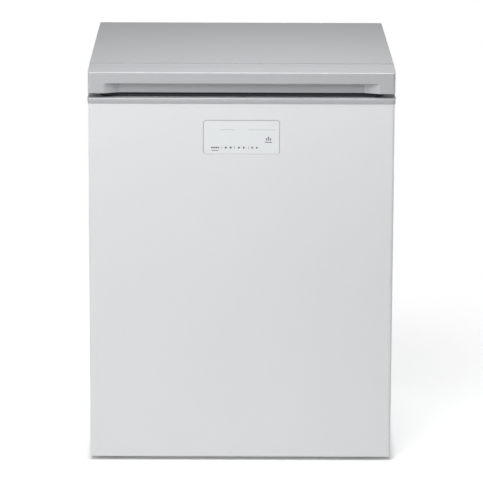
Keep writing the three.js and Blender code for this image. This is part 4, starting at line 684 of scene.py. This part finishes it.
class FRIDGE_OT_collar_and_tub(bpy.types.Operator):
    """Builds the collar frame, the brushed tub with its rim, the divider and the sensor's cover"""

    bl_idname = "fridge.collar_and_tub"
    bl_label = "Collar and Tub"

    def execute(self, context):
        size = context.scene.fridge_sizes
        steps = size.arc_steps
        *plan, bottom, top = span("top_frame")
        seam = span("front_panel")[5]
        wall = 3 * MM
        under = top - wall
        foot = [(wall, under), (wall, seam), (1.7 * MM, seam), (0, seam + 5.5 * MM)]
        skirt = [*foot, (0, top), (10 * MM, top)]
        outer = filleted(skirt, [0, 0.3 * MM, 0.8 * MM, 4 * MM, 2.5 * MM, 0], 5)
        lip = [(-6 * MM, top), (3.3 * MM, top), (3.3 * MM, bottom), (0.3 * MM, bottom), (0.3 * MM, under)]
        inner = filleted(lip, [0, 2.5 * MM, 0.5 * MM, 0.5 * MM, 0], 5)
        collar_corner = size.panel_corner + 2 * MM
        loops = np.concatenate([
            drawn_in(plan, collar_corner, outer, steps),
            drawn_in(TUB, TUB_CORNER, inner, steps),
        ])
        piece("top_collar", [stacked(loops, wrap=True)], "cabinet", "silver_plastic", ["top_frame"])

        rim = span("inner_liner")[5]
        floor = span("inner_liner")[4] + 1.2 * MM
        path = [(12 * MM, floor), (0, floor), (0, rim), (-RIM_WIDTH, rim)]
        profile = filleted(path, [0, 11.9 * MM, 2 * MM, 0], 7)
        loops = drawn_in(TUB, TUB_CORNER, profile, steps)
        tub, held = stacked(loops, caps=[0]), ["inner_liner"]
        piece("metal_tub", [tub], "cabinet", "tub_aluminium", held, wall=1.2 * MM, inward=True, spare=MM)

        fittings = (("partition_plate", "tub_divider", 1.2), ("sensor_cover", "thermistor_cover", 1))
        for name, node, edge in fittings:
            piece(name, node, "cabinet", "white_plastic", [node], bevel=edge * MM)
        return {"FINISHED"}


def mark_disc(x, z, radius, steps=20):
    """A round mark: (x, z) + radius * (cos a, sin a)."""
    angle = np.linspace(0, 2 * math.pi, steps, endpoint=False)
    return np.stack([x + radius * np.cos(angle), z + radius * np.sin(angle)], 1)


def mark_bar(x, z, width, height):
    """A bar mark with round ends, its corners filleted to half its height."""
    u, v = width / 2, height / 2
    corners = np.array([(u, v), (-u, v), (-u, -v), (u, -v)]) + (x, z)
    return filleted(corners, [0.95 * min(u, v)] * 4, 4, closed=True)


def mark_arrow(x, z, reach, turn):
    """A triangular mark with blunt tips, one tip at the angle turn, in degrees."""
    angle = np.radians(turn + np.array([0, 120, 240]))
    corners = np.stack([x + reach * np.cos(angle), z + reach * np.sin(angle)], 1)
    return filleted(corners, [0.12 * reach] * 3, 3, closed=True)


class FRIDGE_OT_control_panel(bpy.types.Operator):
    """Sets the touch plate in its window and prints plain marks on it"""

    bl_idname = "fridge.control_panel"
    bl_label = "Control Panel"

    def execute(self, context):
        west, east, front, rear, low, high = span("control_plate")
        depth = rear - front
        profile = filleted([(0, depth), (0, 0), (2 * MM, 0)], [0, 0.7 * MM, 0], 5)
        loops = drawn_in((west, east, low, high), PLATE_CORNER, profile, 10)
        plate = upright(stacked(loops, caps=[0, -1]), front)
        piece("touch_plate", [plate], "cabinet", "panel_plastic", ["control_plate"])

        keys = 0.7022  # height of the row of keys
        marks = [
            mark_disc(-0.0340, keys, 2.1 * MM),
            mark_disc(-0.0235, keys, 2.1 * MM),
            mark_arrow(-0.0056, keys, 3.2 * MM, -90),
            mark_arrow(0.0048, keys, 3.2 * MM, 0),
            mark_arrow(0.0230, keys, 3.0 * MM, -90),
            mark_arrow(0.0330, keys, 3.0 * MM, -90),
            *[mark_bar(x, keys, 3.6 * MM, 3.4 * MM) for x in (-0.0640, -0.0594, -0.0548, -0.0502)],
            *[mark_bar(x, 0.6958, 4.2 * MM, 1.6 * MM) for x in (-0.0625, -0.0575, -0.0525)],
            mark_bar(0.0582, 0.7142, 16 * MM, 1.5 * MM),
            mark_bar(0.0540, 0.7205, 2.0 * MM, 6.0 * MM),
            mark_bar(0.0582, 0.7222, 2.0 * MM, 9.0 * MM),
            mark_bar(0.0624, 0.7205, 2.0 * MM, 6.0 * MM),
            *[mark_bar(x, keys, 0.6 * MM, 6.5 * MM) for x in (-0.0426, -0.0154, 0.0154)],
        ]
        faint = [
            mark_bar(-0.0310, 0.7415, 32 * MM, 1.3 * MM),
            mark_bar(0.0440, 0.7415, 58 * MM, 1.3 * MM),
        ]
        printed = front - 0.05 * MM
        prints = (("panel_marks", marks, "screen_ink"), ("panel_bars", faint, "faint_ink"))
        for name, shapes, finish in prints:
            parts = [
                (np.insert(shape, 1, printed, axis=1), [np.arange(len(shape))[None]]) for shape in shapes
            ]
            piece(name, parts, "cabinet", "panel_plastic", wall=0.04 * MM, finish=finish)
        return {"FINISHED"}


# ---------------------------------------------------------------- lid


def soft_clamp(t, blend):
    """0 below 0 and 1 above 1, with both bends rounded over about blend."""
    return 0.5 * (np.sqrt(t * t + blend * blend) - np.sqrt((t - 1) ** 2 + blend * blend) + 1)


def round_off(distance, radius):
    """How far a quarter circle falls back at a distance past its start: r - sqrt(r^2 - d^2)."""
    past = np.clip(distance, 0, radius)
    return radius - np.sqrt(radius * radius - past * past)


class FRIDGE_OT_lid(bpy.types.Operator):
    """Builds the lid: flat top shell, sloping front moulding with its finger recess, liner and seal"""

    bl_idname = "fridge.lid"
    bl_label = "Lid"

    def shell(self, size):
        """Rings of the lid's plan, drawn in at the top on three sides, open at the front."""
        *plan, bottom, top = span("lid_shell")
        steps = size.arc_steps
        path = [(0.6 * MM, bottom), (0, bottom + 0.6 * MM), (0, top), (5 * MM, top)]
        profile = filleted(path, [0, 0, size.lid_brim, 0], 6)
        radii = (size.lid_corner, size.lid_corner, 0, 0)
        loops = drawn_in(plan, radii, profile, steps, sides=(1, 1, 0, 1))
        points, (faces, cap) = stacked(loops, caps=[-1])
        faces = faces.reshape(len(loops) - 1, -1, 4)
        keep = np.ones(faces.shape[:2], bool)
        keep[:, 2 * steps + 2 : 4 * steps + 3] = False  # the front moulding closes this side
        shell = (points, [faces[keep], cap])
        piece("lid_top", [shell], "lid", "silver_plastic", ["lid_shell"], wall=2.6 * MM, spare=MM)

    def grip(self, size):
        """One closed section carried along x, from side to side.

        The section's front line falls back round the lid's corners, its top line falls round the brim, and
        its recess depth = grip depth * a soft clamp of the distance in from the recess's end / its ramp. The
        roof of the recess climbs with its depth. The top falls from the seam to the front edge as a cubic,
        level at the seam, where it lies a step below the shell and stops short of it, over a rebate.
        """
        west, east, front, rear, bottom, top = span("lid_front_grip")
        half = east
        wall = 2.6 * MM
        beam = front + 34 * MM
        rise = 6 * MM
        seam_step, seam_gap, seam_depth = 1.7 * MM, 1.4 * MM, 0.8 * MM
        recess_half, recess_height, roof_climb = 296 * MM, 20.5 * MM, 10 * MM
        quarter = np.sin(np.linspace(0, math.pi / 2, 9))
        ends = np.concatenate([
            half - size.lid_corner + size.lid_corner * quarter,
            half - size.lid_brim + size.lid_brim * quarter[:-1],
        ])
        ramp = np.linspace(recess_half - size.grip_ramp - 9 * MM, recess_half + 7 * MM, 47)
        plain = np.linspace(0, recess_half - size.grip_ramp - 12 * MM, 8)
        inner = half - wall
        outside = np.unique(np.concatenate([plain, ramp, ends, [inner]]).round(7))
        step = np.searchsorted(outside, round(inner, 7))
        x = np.insert(outside, step, outside[step])
        solid = np.arange(len(x)) > step
        x = np.concatenate([-x[::-1], x[1:]])
        solid = np.concatenate([solid[::-1], solid[1:]])
        away = np.abs(x)
        face = front + round_off(away - (half - size.lid_corner), size.lid_corner)
        fall = round_off(away - (half - size.lid_brim), size.lid_brim)
        share = soft_clamp((recess_half - away) / size.grip_ramp, 0.045)
        share = np.where(away > recess_half + 6 * MM, 0, share)
        share = np.where(away < recess_half - size.grip_ramp - 8 * MM, 1, share)
        depth = size.grip_depth * share
        lintel = bottom + recess_height

        def flat(value):
            return np.full(x.shape, value)

        def slope(y):
            return top - seam_step - (rise - seam_step) * ((rear - y) / (rear - front)) ** 3

        back = flat(rear)
        on_top = [flat(front + part * (rear - front)) for part in (0.28, 0.52, 0.76)]
        corner = np.where(solid, rear, beam)
        path = np.stack([
            np.stack([corner, flat(bottom)], 1),
            np.stack([face + depth, flat(bottom)], 1),
            np.stack([face + depth, lintel + roof_climb * share], 1),
            np.stack([face, flat(lintel)], 1),
            np.stack([face, slope(face) - fall], 1),
            *[np.stack([between, slope(between) - fall], 1) for between in on_top],
            np.stack([back - seam_gap, slope(back) - fall], 1),
            np.stack([back - seam_gap, slope(back) - fall - seam_depth], 1),
            np.stack([back, slope(back) - fall - seam_depth], 1),
            np.stack([back, np.where(solid, bottom + 30 * MM, slope(back) - wall)], 1),
            np.stack([corner, np.where(solid, bottom + 15 * MM, slope(beam) - wall)], 1),
        ], 1)
        radii = [0, 1.2 * MM, 3 * MM, 1.4 * MM, size.lid_edge, 0.5, 0.5, 0.5, 0.4 * MM, 0, 0, 0, 0]
        sections = filleted(path, radii, 6, closed=True)
        points = np.concatenate([np.broadcast_to(x[:, None, None], (*sections.shape[:2], 1)), sections], 2)
        moulding = stacked(points, caps=[0, -1])
        piece("lid_front_moulding", [moulding], "lid", "silver_plastic", ["lid_front_grip"])

    def liner_and_seal(self, size):
        """The liner's plug hangs into the tub. The seal is a bellows section carried round under the lid."""
        steps = size.arc_steps
        *plan, bottom, top = span("lid_inner_liner")
        wall = 2 * MM
        inset = 17.3 * MM
        flange = top - wall
        plug = [(inset + 8.2 * MM, bottom), (inset, bottom), (inset, flange), (inset - 6 * MM, flange)]
        loops = np.concatenate([
            drawn_in(TUB, TUB_CORNER, filleted(plug, [0, 8 * MM, 2 * MM, 0], 6), steps),
            drawn_in(plan, 3.4 * MM, [(0, flange)], steps),
        ])
        liner, held = stacked(loops, caps=[0]), ["lid_inner_liner"]
        piece("lid_liner", [liner], "lid", "white_plastic", held, wall=wall, inward=True, spare=MM)

        *plan, low, high = span("lid_gasket")
        width, wing, root = 15 * MM, low + 5 * MM, low + 6.4 * MM
        half_section = [(0, low), (0, wing), (3 * MM, root), (1 * MM, high)]
        section = half_section + [(width - across, z) for across, z in half_section[::-1]]
        rounding = np.array([1.2, 1.2, 0.8, 0.5, 0.5, 0.8, 1.2, 1.2]) * MM
        profile = filleted(section, rounding, 3, closed=True)
        loops = drawn_in(plan, 20 * MM, profile, steps)
        piece("lid_seal", [stacked(loops, wrap=True)], "lid", "gasket_rubber", ["lid_gasket"])

    def execute(self, context):
        size = context.scene.fridge_sizes
        self.shell(size)
        self.grip(size)
        self.liner_and_seal(size)
        return {"FINISHED"}


class FRIDGE_OT_hinges(bpy.types.Operator):
    """Softens the edges of the hinge covers, brackets and leaves"""

    bl_idname = "fridge.hinges"
    bl_label = "Hinges"

    def execute(self, context):
        for name, _ in SIDES:
            for node, body, slot, edge in (
                (f"hinge_cover_{name}", "cabinet", "silver_plastic", 0.9),
                (f"hinge_bracket_{name}", "cabinet", "galvanised_steel", 0.4),
                (f"hinge_leaf_{name}", "lid", "galvanised_steel", 0.4),
            ):
                piece(f"{node}_formed", node, body, slot, [node], bevel=edge * MM)
        return {"FINISHED"}


class FRIDGE_OT_feet_and_rollers(bpy.types.Operator):
    """Turns the levelling feet and the rear rollers"""

    bl_idname = "fridge.feet_and_rollers"
    bl_label = "Feet and Rollers"

    def execute(self, context):
        for name, _ in SIDES:
            node = f"levelling_foot_{name}"
            west, east, front, rear, low, high = span(node)
            radius = (east - west) / 2
            stud = 5 * MM
            middle = ((west + east) / 2, (front + rear) / 2, low)
            tall = high - low
            disc = [(0, 0), (radius - 1.5 * MM, 0), (radius, 1.5 * MM), (radius, 3.5 * MM)]
            shank = [(radius - 3 * MM, 5 * MM), (stud, 5 * MM), (stud, tall - MM)]
            end = [(stud - MM, tall), (0, tall)]
            rounding = np.array([0, 0.5, 0.8, 0.8, 0.8, 0.3, 0, 0, 0]) * MM
            profile = filleted(disc + shank + end, rounding, 3)
            piece(f"screw_foot_{name}", [turned(profile, middle)], node, "black_plastic", [node])

            node = f"roller_{name}"
            west, east, front, rear, low, high = span(node)
            radius, width, bore = (high - low) / 2, east - west, 3.3 * MM
            hub = [(bore, 0), (bore + 2.5 * MM, 0), (bore + 3.5 * MM, 1.2 * MM)]
            rim = [(radius - 4 * MM, 1.2 * MM), (radius - 3 * MM, 0), (radius - 1.4 * MM, 0)]
            near = [*hub, *rim, (radius, 2 * MM)]
            far = [(across, width - along) for across, along in near[::-1]]
            rounding = np.array([0, 0.2, 0.2, 0.4, 0.4, 0.5, 1.2, 1.2, 0.5, 0.4, 0.4, 0.2, 0.2, 0]) * MM
            profile = filleted(near + far, rounding, 3, closed=True)
            wheel = turned(profile, (west, (front + rear) / 2, (low + high) / 2), "X", wrap=True)
            piece(f"{node}_wheel", [wheel], node, "black_plastic", [node])
        return {"FINISHED"}


class FRIDGE_OT_kimchi_boxes(bpy.types.Operator):
    """Moulds the four kimchi boxes and their lids"""

    bl_idname = "fridge.kimchi_boxes"
    bl_label = "Kimchi Boxes"

    def execute(self, context):
        size = context.scene.fridge_sizes
        steps = size.arc_steps
        wall, draft = 2.4 * MM, 5 * MM
        for place in BOX_PLACES:
            node = f"kimchi_box_{place}"
            *plan, low, high = span(node)
            outside = [(draft + 8 * MM, low), (draft, low), (0, high)]
            inside = [(wall, high), (draft + wall, low + wall), (draft + wall + 8 * MM, low + wall)]
            profile = filleted(outside + inside, np.array([0, 6, 1, 1, 5, 0]) * MM, 6)
            loops = drawn_in(plan, size.box_corner - 2.7 * MM, profile, steps)
            box = stacked(loops, caps=[0, -1])
            piece(f"{node}_moulded", [box], f"box_{place}", "box_plastic", [node])

            node = f"kimchi_box_lid_{place}"
            *plan, low, high = span(node)
            under = low + 12.3 * MM
            skirt = [(wall + 6 * MM, under), (wall, under), (wall, low), (0, low)]
            inset = np.array([0, 12, 14, 36, 38.5, 45, 47, 60]) * MM
            sunk = np.array([0, 0, 3, 3, 0.6, 0.6, 2.2, 2.2]) * MM
            path = np.concatenate([skirt, np.stack([inset, high - sunk], 1)])
            rounding = np.array([0, 0.5, 0.6, 0.6, 2.2, 1.2, 1.2, 1.2, 1, 1, 1, 0]) * MM
            profile = filleted(path, rounding, 5)
            loops = drawn_in(plan, size.box_corner, profile, steps, least=12 * MM)
            lid = stacked(loops, caps=[0, -1])
            piece(f"{node}_moulded", [lid], f"box_lid_{place}", "box_lid_plastic", [node])
        return {"FINISHED"}


class FRIDGE_OT_machine_room(bpy.types.Operator):
    """Softens the pressed base pan, the roller brackets and the fan's shroud"""

    bl_idname = "fridge.machine_room"
    bl_label = "Machine Room"

    def execute(self, context):
        rounded = [("base_pan", "galvanised_steel", 0.5), ("fan_shroud", "black_plastic", 0.5)]
        rounded += [(f"roller_bracket_{name}", "galvanised_steel", 0.4) for name, _ in SIDES]
        for node, slot, edge in rounded:
            piece(f"{node}_formed", node, "cabinet", slot, [node], bevel=edge * MM)
        return {"FINISHED"}


class FRIDGE_OT_finishes(bpy.types.Operator):
    """Gives every solid of the frame the finish of its slot"""

    bl_idname = "fridge.finishes"
    bl_label = "Finishes"

    def execute(self, context):
        for entry in frame["record"]["subparts"]:
            for holder in frame["nodes"][entry["node"]].material_slots:
                holder.material = material(entry["material_slot"])
        return {"FINISHED"}


# ---------------------------------------------------------------- floor, light and camera

ROOM_LIGHT = 0.2  # strength of the even light that falls on everything
GLOSS_ROOM = 0.25  # brightness of the room in reflections
FLOOR_LIFT = 0.42  # how much the floor near the refrigerator is lifted towards white for the eye
UNDER_LIGHT = 0.3  # strength of the weak light under the cabinet


def by_ray(tree, eye, gloss, rest):
    """One strength for rays from the eye or through a clear piece, one for reflections, one for the rest."""
    path = add(tree, "ShaderNodeLightPath")
    seen = add(
        tree,
        "ShaderNodeMath",
        {0: path.outputs["Is Camera Ray"], 1: path.outputs["Is Transmission Ray"]},
        operation="MAXIMUM",
    )
    mirrored = add(
        tree,
        "ShaderNodeMath",
        {0: path.outputs["Is Glossy Ray"], 1: gloss - rest, 2: rest},
        operation="MULTIPLY_ADD",
    )
    return add(
        tree,
        "ShaderNodeMath",
        {0: seen.outputs[0], 1: eye - rest, 2: mirrored.outputs[0]},
        operation="MULTIPLY_ADD",
    ).outputs[0]


def aim(thing, axes, place):
    """Turns a lamp or a camera so that its right, top and back lie along three axes, and moves it."""
    matrix = np.eye(4)
    matrix[:3] = np.stack([*axes, place], 1)
    thing.matrix_world = Matrix(matrix.tolist())


def area_light(name, place, target, size, watts):
    """A square soft lamp at a place, turned to face another."""
    lamp = bpy.data.lights.new(name, "AREA")
    lamp.shape = "SQUARE"
    lamp.size = size
    lamp.energy = watts
    thing = placed(name, lamp)
    thing.visible_camera = False
    back = unit(np.subtract(place, target, dtype=float))
    across = unit(np.cross((0, 0, 1), back))
    aim(thing, (across, np.cross(back, across), back), place)


class FRIDGE_OT_stage(bpy.types.Operator):
    """Lays a pale floor, hangs soft lamps and sets the camera before and a little above the refrigerator"""

    bl_idname = "fridge.stage"
    bl_label = "Stage"

    def floor(self):
        """A pale disc that keeps the shadow near the refrigerator and fades to plain white further off."""
        footprint = (0.325, 0.345, 0)  # half its width and depth
        profile = [(radius, 0) for radius in (0, 0.6, 1.5, 3, 6, 14)]
        part = turned(profile, (0, 0, -0.3 * MM), steps=64)
        disc = placed("floor", shape_mesh("floor", part))
        if disc.data.polygons[0].normal.z < 0:
            disc.data.flip_normals()
        made = bpy.data.materials.new("matt_white_paint")
        tree = emptied(made)
        place = add(tree, "ShaderNodeTexCoord").outputs["Object"]
        reach = add(tree, "ShaderNodeVectorMath", {0: place}, operation="LENGTH").outputs["Value"]
        near = add(tree, "ShaderNodeMapRange", {"Value": reach, "From Min": 0.75, "From Max": 1.8})
        seen = by_ray(tree, 1.0, 1.0, 0.0)
        far = add(tree, "ShaderNodeMath", {0: near.outputs[0], 1: seen}, operation="MULTIPLY").outputs[0]
        paint = add(tree, "ShaderNodeBsdfDiffuse", {"Color": (0.93, 0.93, 0.93, 1)})
        # The lift falls under the refrigerator: a third inside its footprint, whole from 25 mm outside it.
        # Less glow there paints shade under the cabinet, on top of its real shadow.
        reach_in = add(tree, "ShaderNodeVectorMath", {0: place}, operation="ABSOLUTE").outputs[0]
        past = add(tree, "ShaderNodeVectorMath", {0: reach_in, 1: footprint}, operation="SUBTRACT")
        apart = add(tree, "ShaderNodeSeparateXYZ", {0: past.outputs[0]})
        outside = add(
            tree, "ShaderNodeMath", {0: apart.outputs["X"], 1: apart.outputs["Y"]}, operation="MAXIMUM"
        )
        painted_shade_lift = add(tree, "ShaderNodeMapRange", {"Value": outside.outputs[0], "From Max": 0.025})
        painted_shade_lift.inputs["To Min"].default_value = 0.35 * FLOOR_LIFT
        painted_shade_lift.inputs["To Max"].default_value = FLOOR_LIFT
        by_eye = by_ray(tree, 1.0, 0.0, 0.0)
        lift = add(tree, "ShaderNodeMath", {0: painted_shade_lift.outputs[0], 1: by_eye}, operation="MULTIPLY")
        # Under the cabinet the floor gives the underside a weak light of its own, which the eye doesn't see.
        inside = add(tree, "ShaderNodeMath", {0: outside.outputs[0], 1: -0.03}, operation="LESS_THAN")
        eye_ray = add(tree, "ShaderNodeLightPath").outputs["Is Camera Ray"]
        upwards = add(
            tree, "ShaderNodeMath", {0: inside.outputs[0], 1: eye_ray}, operation="SUBTRACT", use_clamp=True
        )
        strength = add(
            tree,
            "ShaderNodeMath",
            {0: upwards.outputs[0], 1: UNDER_LIGHT, 2: lift.outputs[0]},
            operation="MULTIPLY_ADD",
        )
        glow = add(tree, "ShaderNodeEmission", {"Strength": strength.outputs[0]})
        white = add(tree, "ShaderNodeEmission", {"Strength": by_ray(tree, 1.0, GLOSS_ROOM, 0.0)})
        lit = add(tree, "ShaderNodeAddShader", {0: paint.outputs[0], 1: glow.outputs[0]})
        mixed = add(tree, "ShaderNodeMixShader", {0: far, 1: lit.outputs[0], 2: white.outputs[0]})
        # Seen from below the floor is clear, so that the underside can be looked at.
        below = add(tree, "ShaderNodeNewGeometry").outputs["Backfacing"]
        clear = add(tree, "ShaderNodeBsdfTransparent")
        sided = add(tree, "ShaderNodeMixShader", {0: below, 1: mixed.outputs[0], 2: clear.outputs[0]})
        add(tree, "ShaderNodeOutputMaterial", {"Surface": sided.outputs[0]})
        disc.data.materials.append(made)

    def world(self):
        """A white room to the eye and to reflections, and a weaker even light on everything."""
        room = bpy.data.worlds.new("white_room")
        bpy.context.scene.world = room
        tree = emptied(room)
        strength = by_ray(tree, 1.0, GLOSS_ROOM, ROOM_LIGHT)
        room_light = add(tree, "ShaderNodeBackground", {"Color": (1, 1, 1, 1), "Strength": strength})
        add(tree, "ShaderNodeOutputWorld", {"Surface": room_light.outputs[0]})

    def camera(self):
        """The eye stands 6.8 m before the front panel and 2.0 m up, looking 12.5 degrees down.

        right and ahead turn with the yaw, then the pitch tips ahead and up, then the roll turns right and up.
        """
        yaw, pitch, roll = 0.00367392, 0.218208, -0.0037205
        picture, focal, sensor = 483, 3198.27, 36  # width and distance of the picture in dots, film in mm
        place = np.array([-0.024217, PANEL_FACE - 6.7929, 2.0009])
        right = np.array([math.cos(yaw), -math.sin(yaw), 0])
        ahead = np.array([math.sin(yaw), math.cos(yaw), 0])
        up = np.array([0, 0, 1.0])
        view = ahead * math.cos(pitch) - up * math.sin(pitch)
        top = up * math.cos(pitch) + ahead * math.sin(pitch)
        rolled_right = right * math.cos(roll) - top * math.sin(roll)
        rolled_top = top * math.cos(roll) + right * math.sin(roll)
        lens = bpy.data.cameras.new("eye")
        lens.sensor_width = sensor
        lens.lens = focal * sensor / picture
        eye = placed("eye", lens)
        aim(eye, (rolled_right, rolled_top, -view), place)
        bpy.context.scene.camera = eye

    def execute(self, context):
        context.scene.view_settings.view_transform = "Standard"
        self.floor()
        self.world()
        area_light("key_lamp", (-1.3, -2.4, 2.9), (0, 0, 0.5), 2.2, 60)
        area_light("top_lamp", (0.15, -0.55, 1.9), (0.05, -0.3, 0.87), 1.2, 13.5)
        area_light("edge_lamp", (-1.35, -3.0, 0.45), (0, -0.3, 0.6), 0.4, 10)
        # Three low lamps stay under the lid's top, so that they light the back and sides alone.
        area_light("rear_lamp", (0, 3.0, 0.42), (0, 0.3, 0.42), 0.8, 28)
        area_light("left_lamp", (-2.8, 1.1, 0.42), (-0.3, 0, 0.42), 0.8, 14)
        area_light("right_lamp", (2.8, 1.1, 0.42), (0.3, 0, 0.42), 0.8, 28)
        self.camera()
        return {"FINISHED"}


# ---------------------------------------------------------------- the add-on

OPERATORS = (
    FRIDGE_OT_front_panel,
    FRIDGE_OT_side_panels,
    FRIDGE_OT_rear_wall,
    FRIDGE_OT_collar_and_tub,
    FRIDGE_OT_control_panel,
    FRIDGE_OT_lid,
    FRIDGE_OT_hinges,
    FRIDGE_OT_feet_and_rollers,
    FRIDGE_OT_kimchi_boxes,
    FRIDGE_OT_machine_room,
    FRIDGE_OT_finishes,
    FRIDGE_OT_stage,
)


class FRIDGE_PT_sidebar(bpy.types.Panel):
    """Lists the refrigerator's sizes, colours and pieces"""

    bl_idname = "FRIDGE_PT_sidebar"
    bl_label = "Kimchi Refrigerator"
    bl_space_type = "VIEW_3D"
    bl_region_type = "UI"
    bl_category = "Refrigerator"

    def draw(self, context):
        for group in (context.scene.fridge_sizes, context.scene.fridge_colours):
            column = self.layout.column(align=True)
            for name in group.__annotations__:
                column.prop(group, name)
        column = self.layout.column(align=True)
        for operator in OPERATORS:
            column.operator(operator.bl_idname)


CLASSES = (FridgeSizes, FridgeColours, *OPERATORS, FRIDGE_PT_sidebar)


def register():
    """Registers the classes and hangs the sizes and colours on the scene."""
    for kind in CLASSES:
        bpy.utils.register_class(kind)
    bpy.types.Scene.fridge_sizes = bpy.props.PointerProperty(type=FridgeSizes)
    bpy.types.Scene.fridge_colours = bpy.props.PointerProperty(type=FridgeColours)


def unregister():
    """Takes the sizes, the colours and the classes away again."""
    del bpy.types.Scene.fridge_colours
    del bpy.types.Scene.fridge_sizes
    for kind in reversed(CLASSES):
        bpy.utils.unregister_class(kind)


def main():
    """Builds every piece and the stage."""
    register()
    for operator in OPERATORS:
        group, name = operator.bl_idname.split(".")
        getattr(getattr(bpy.ops, group), name)()


if __name__ == "__main__":
    main()
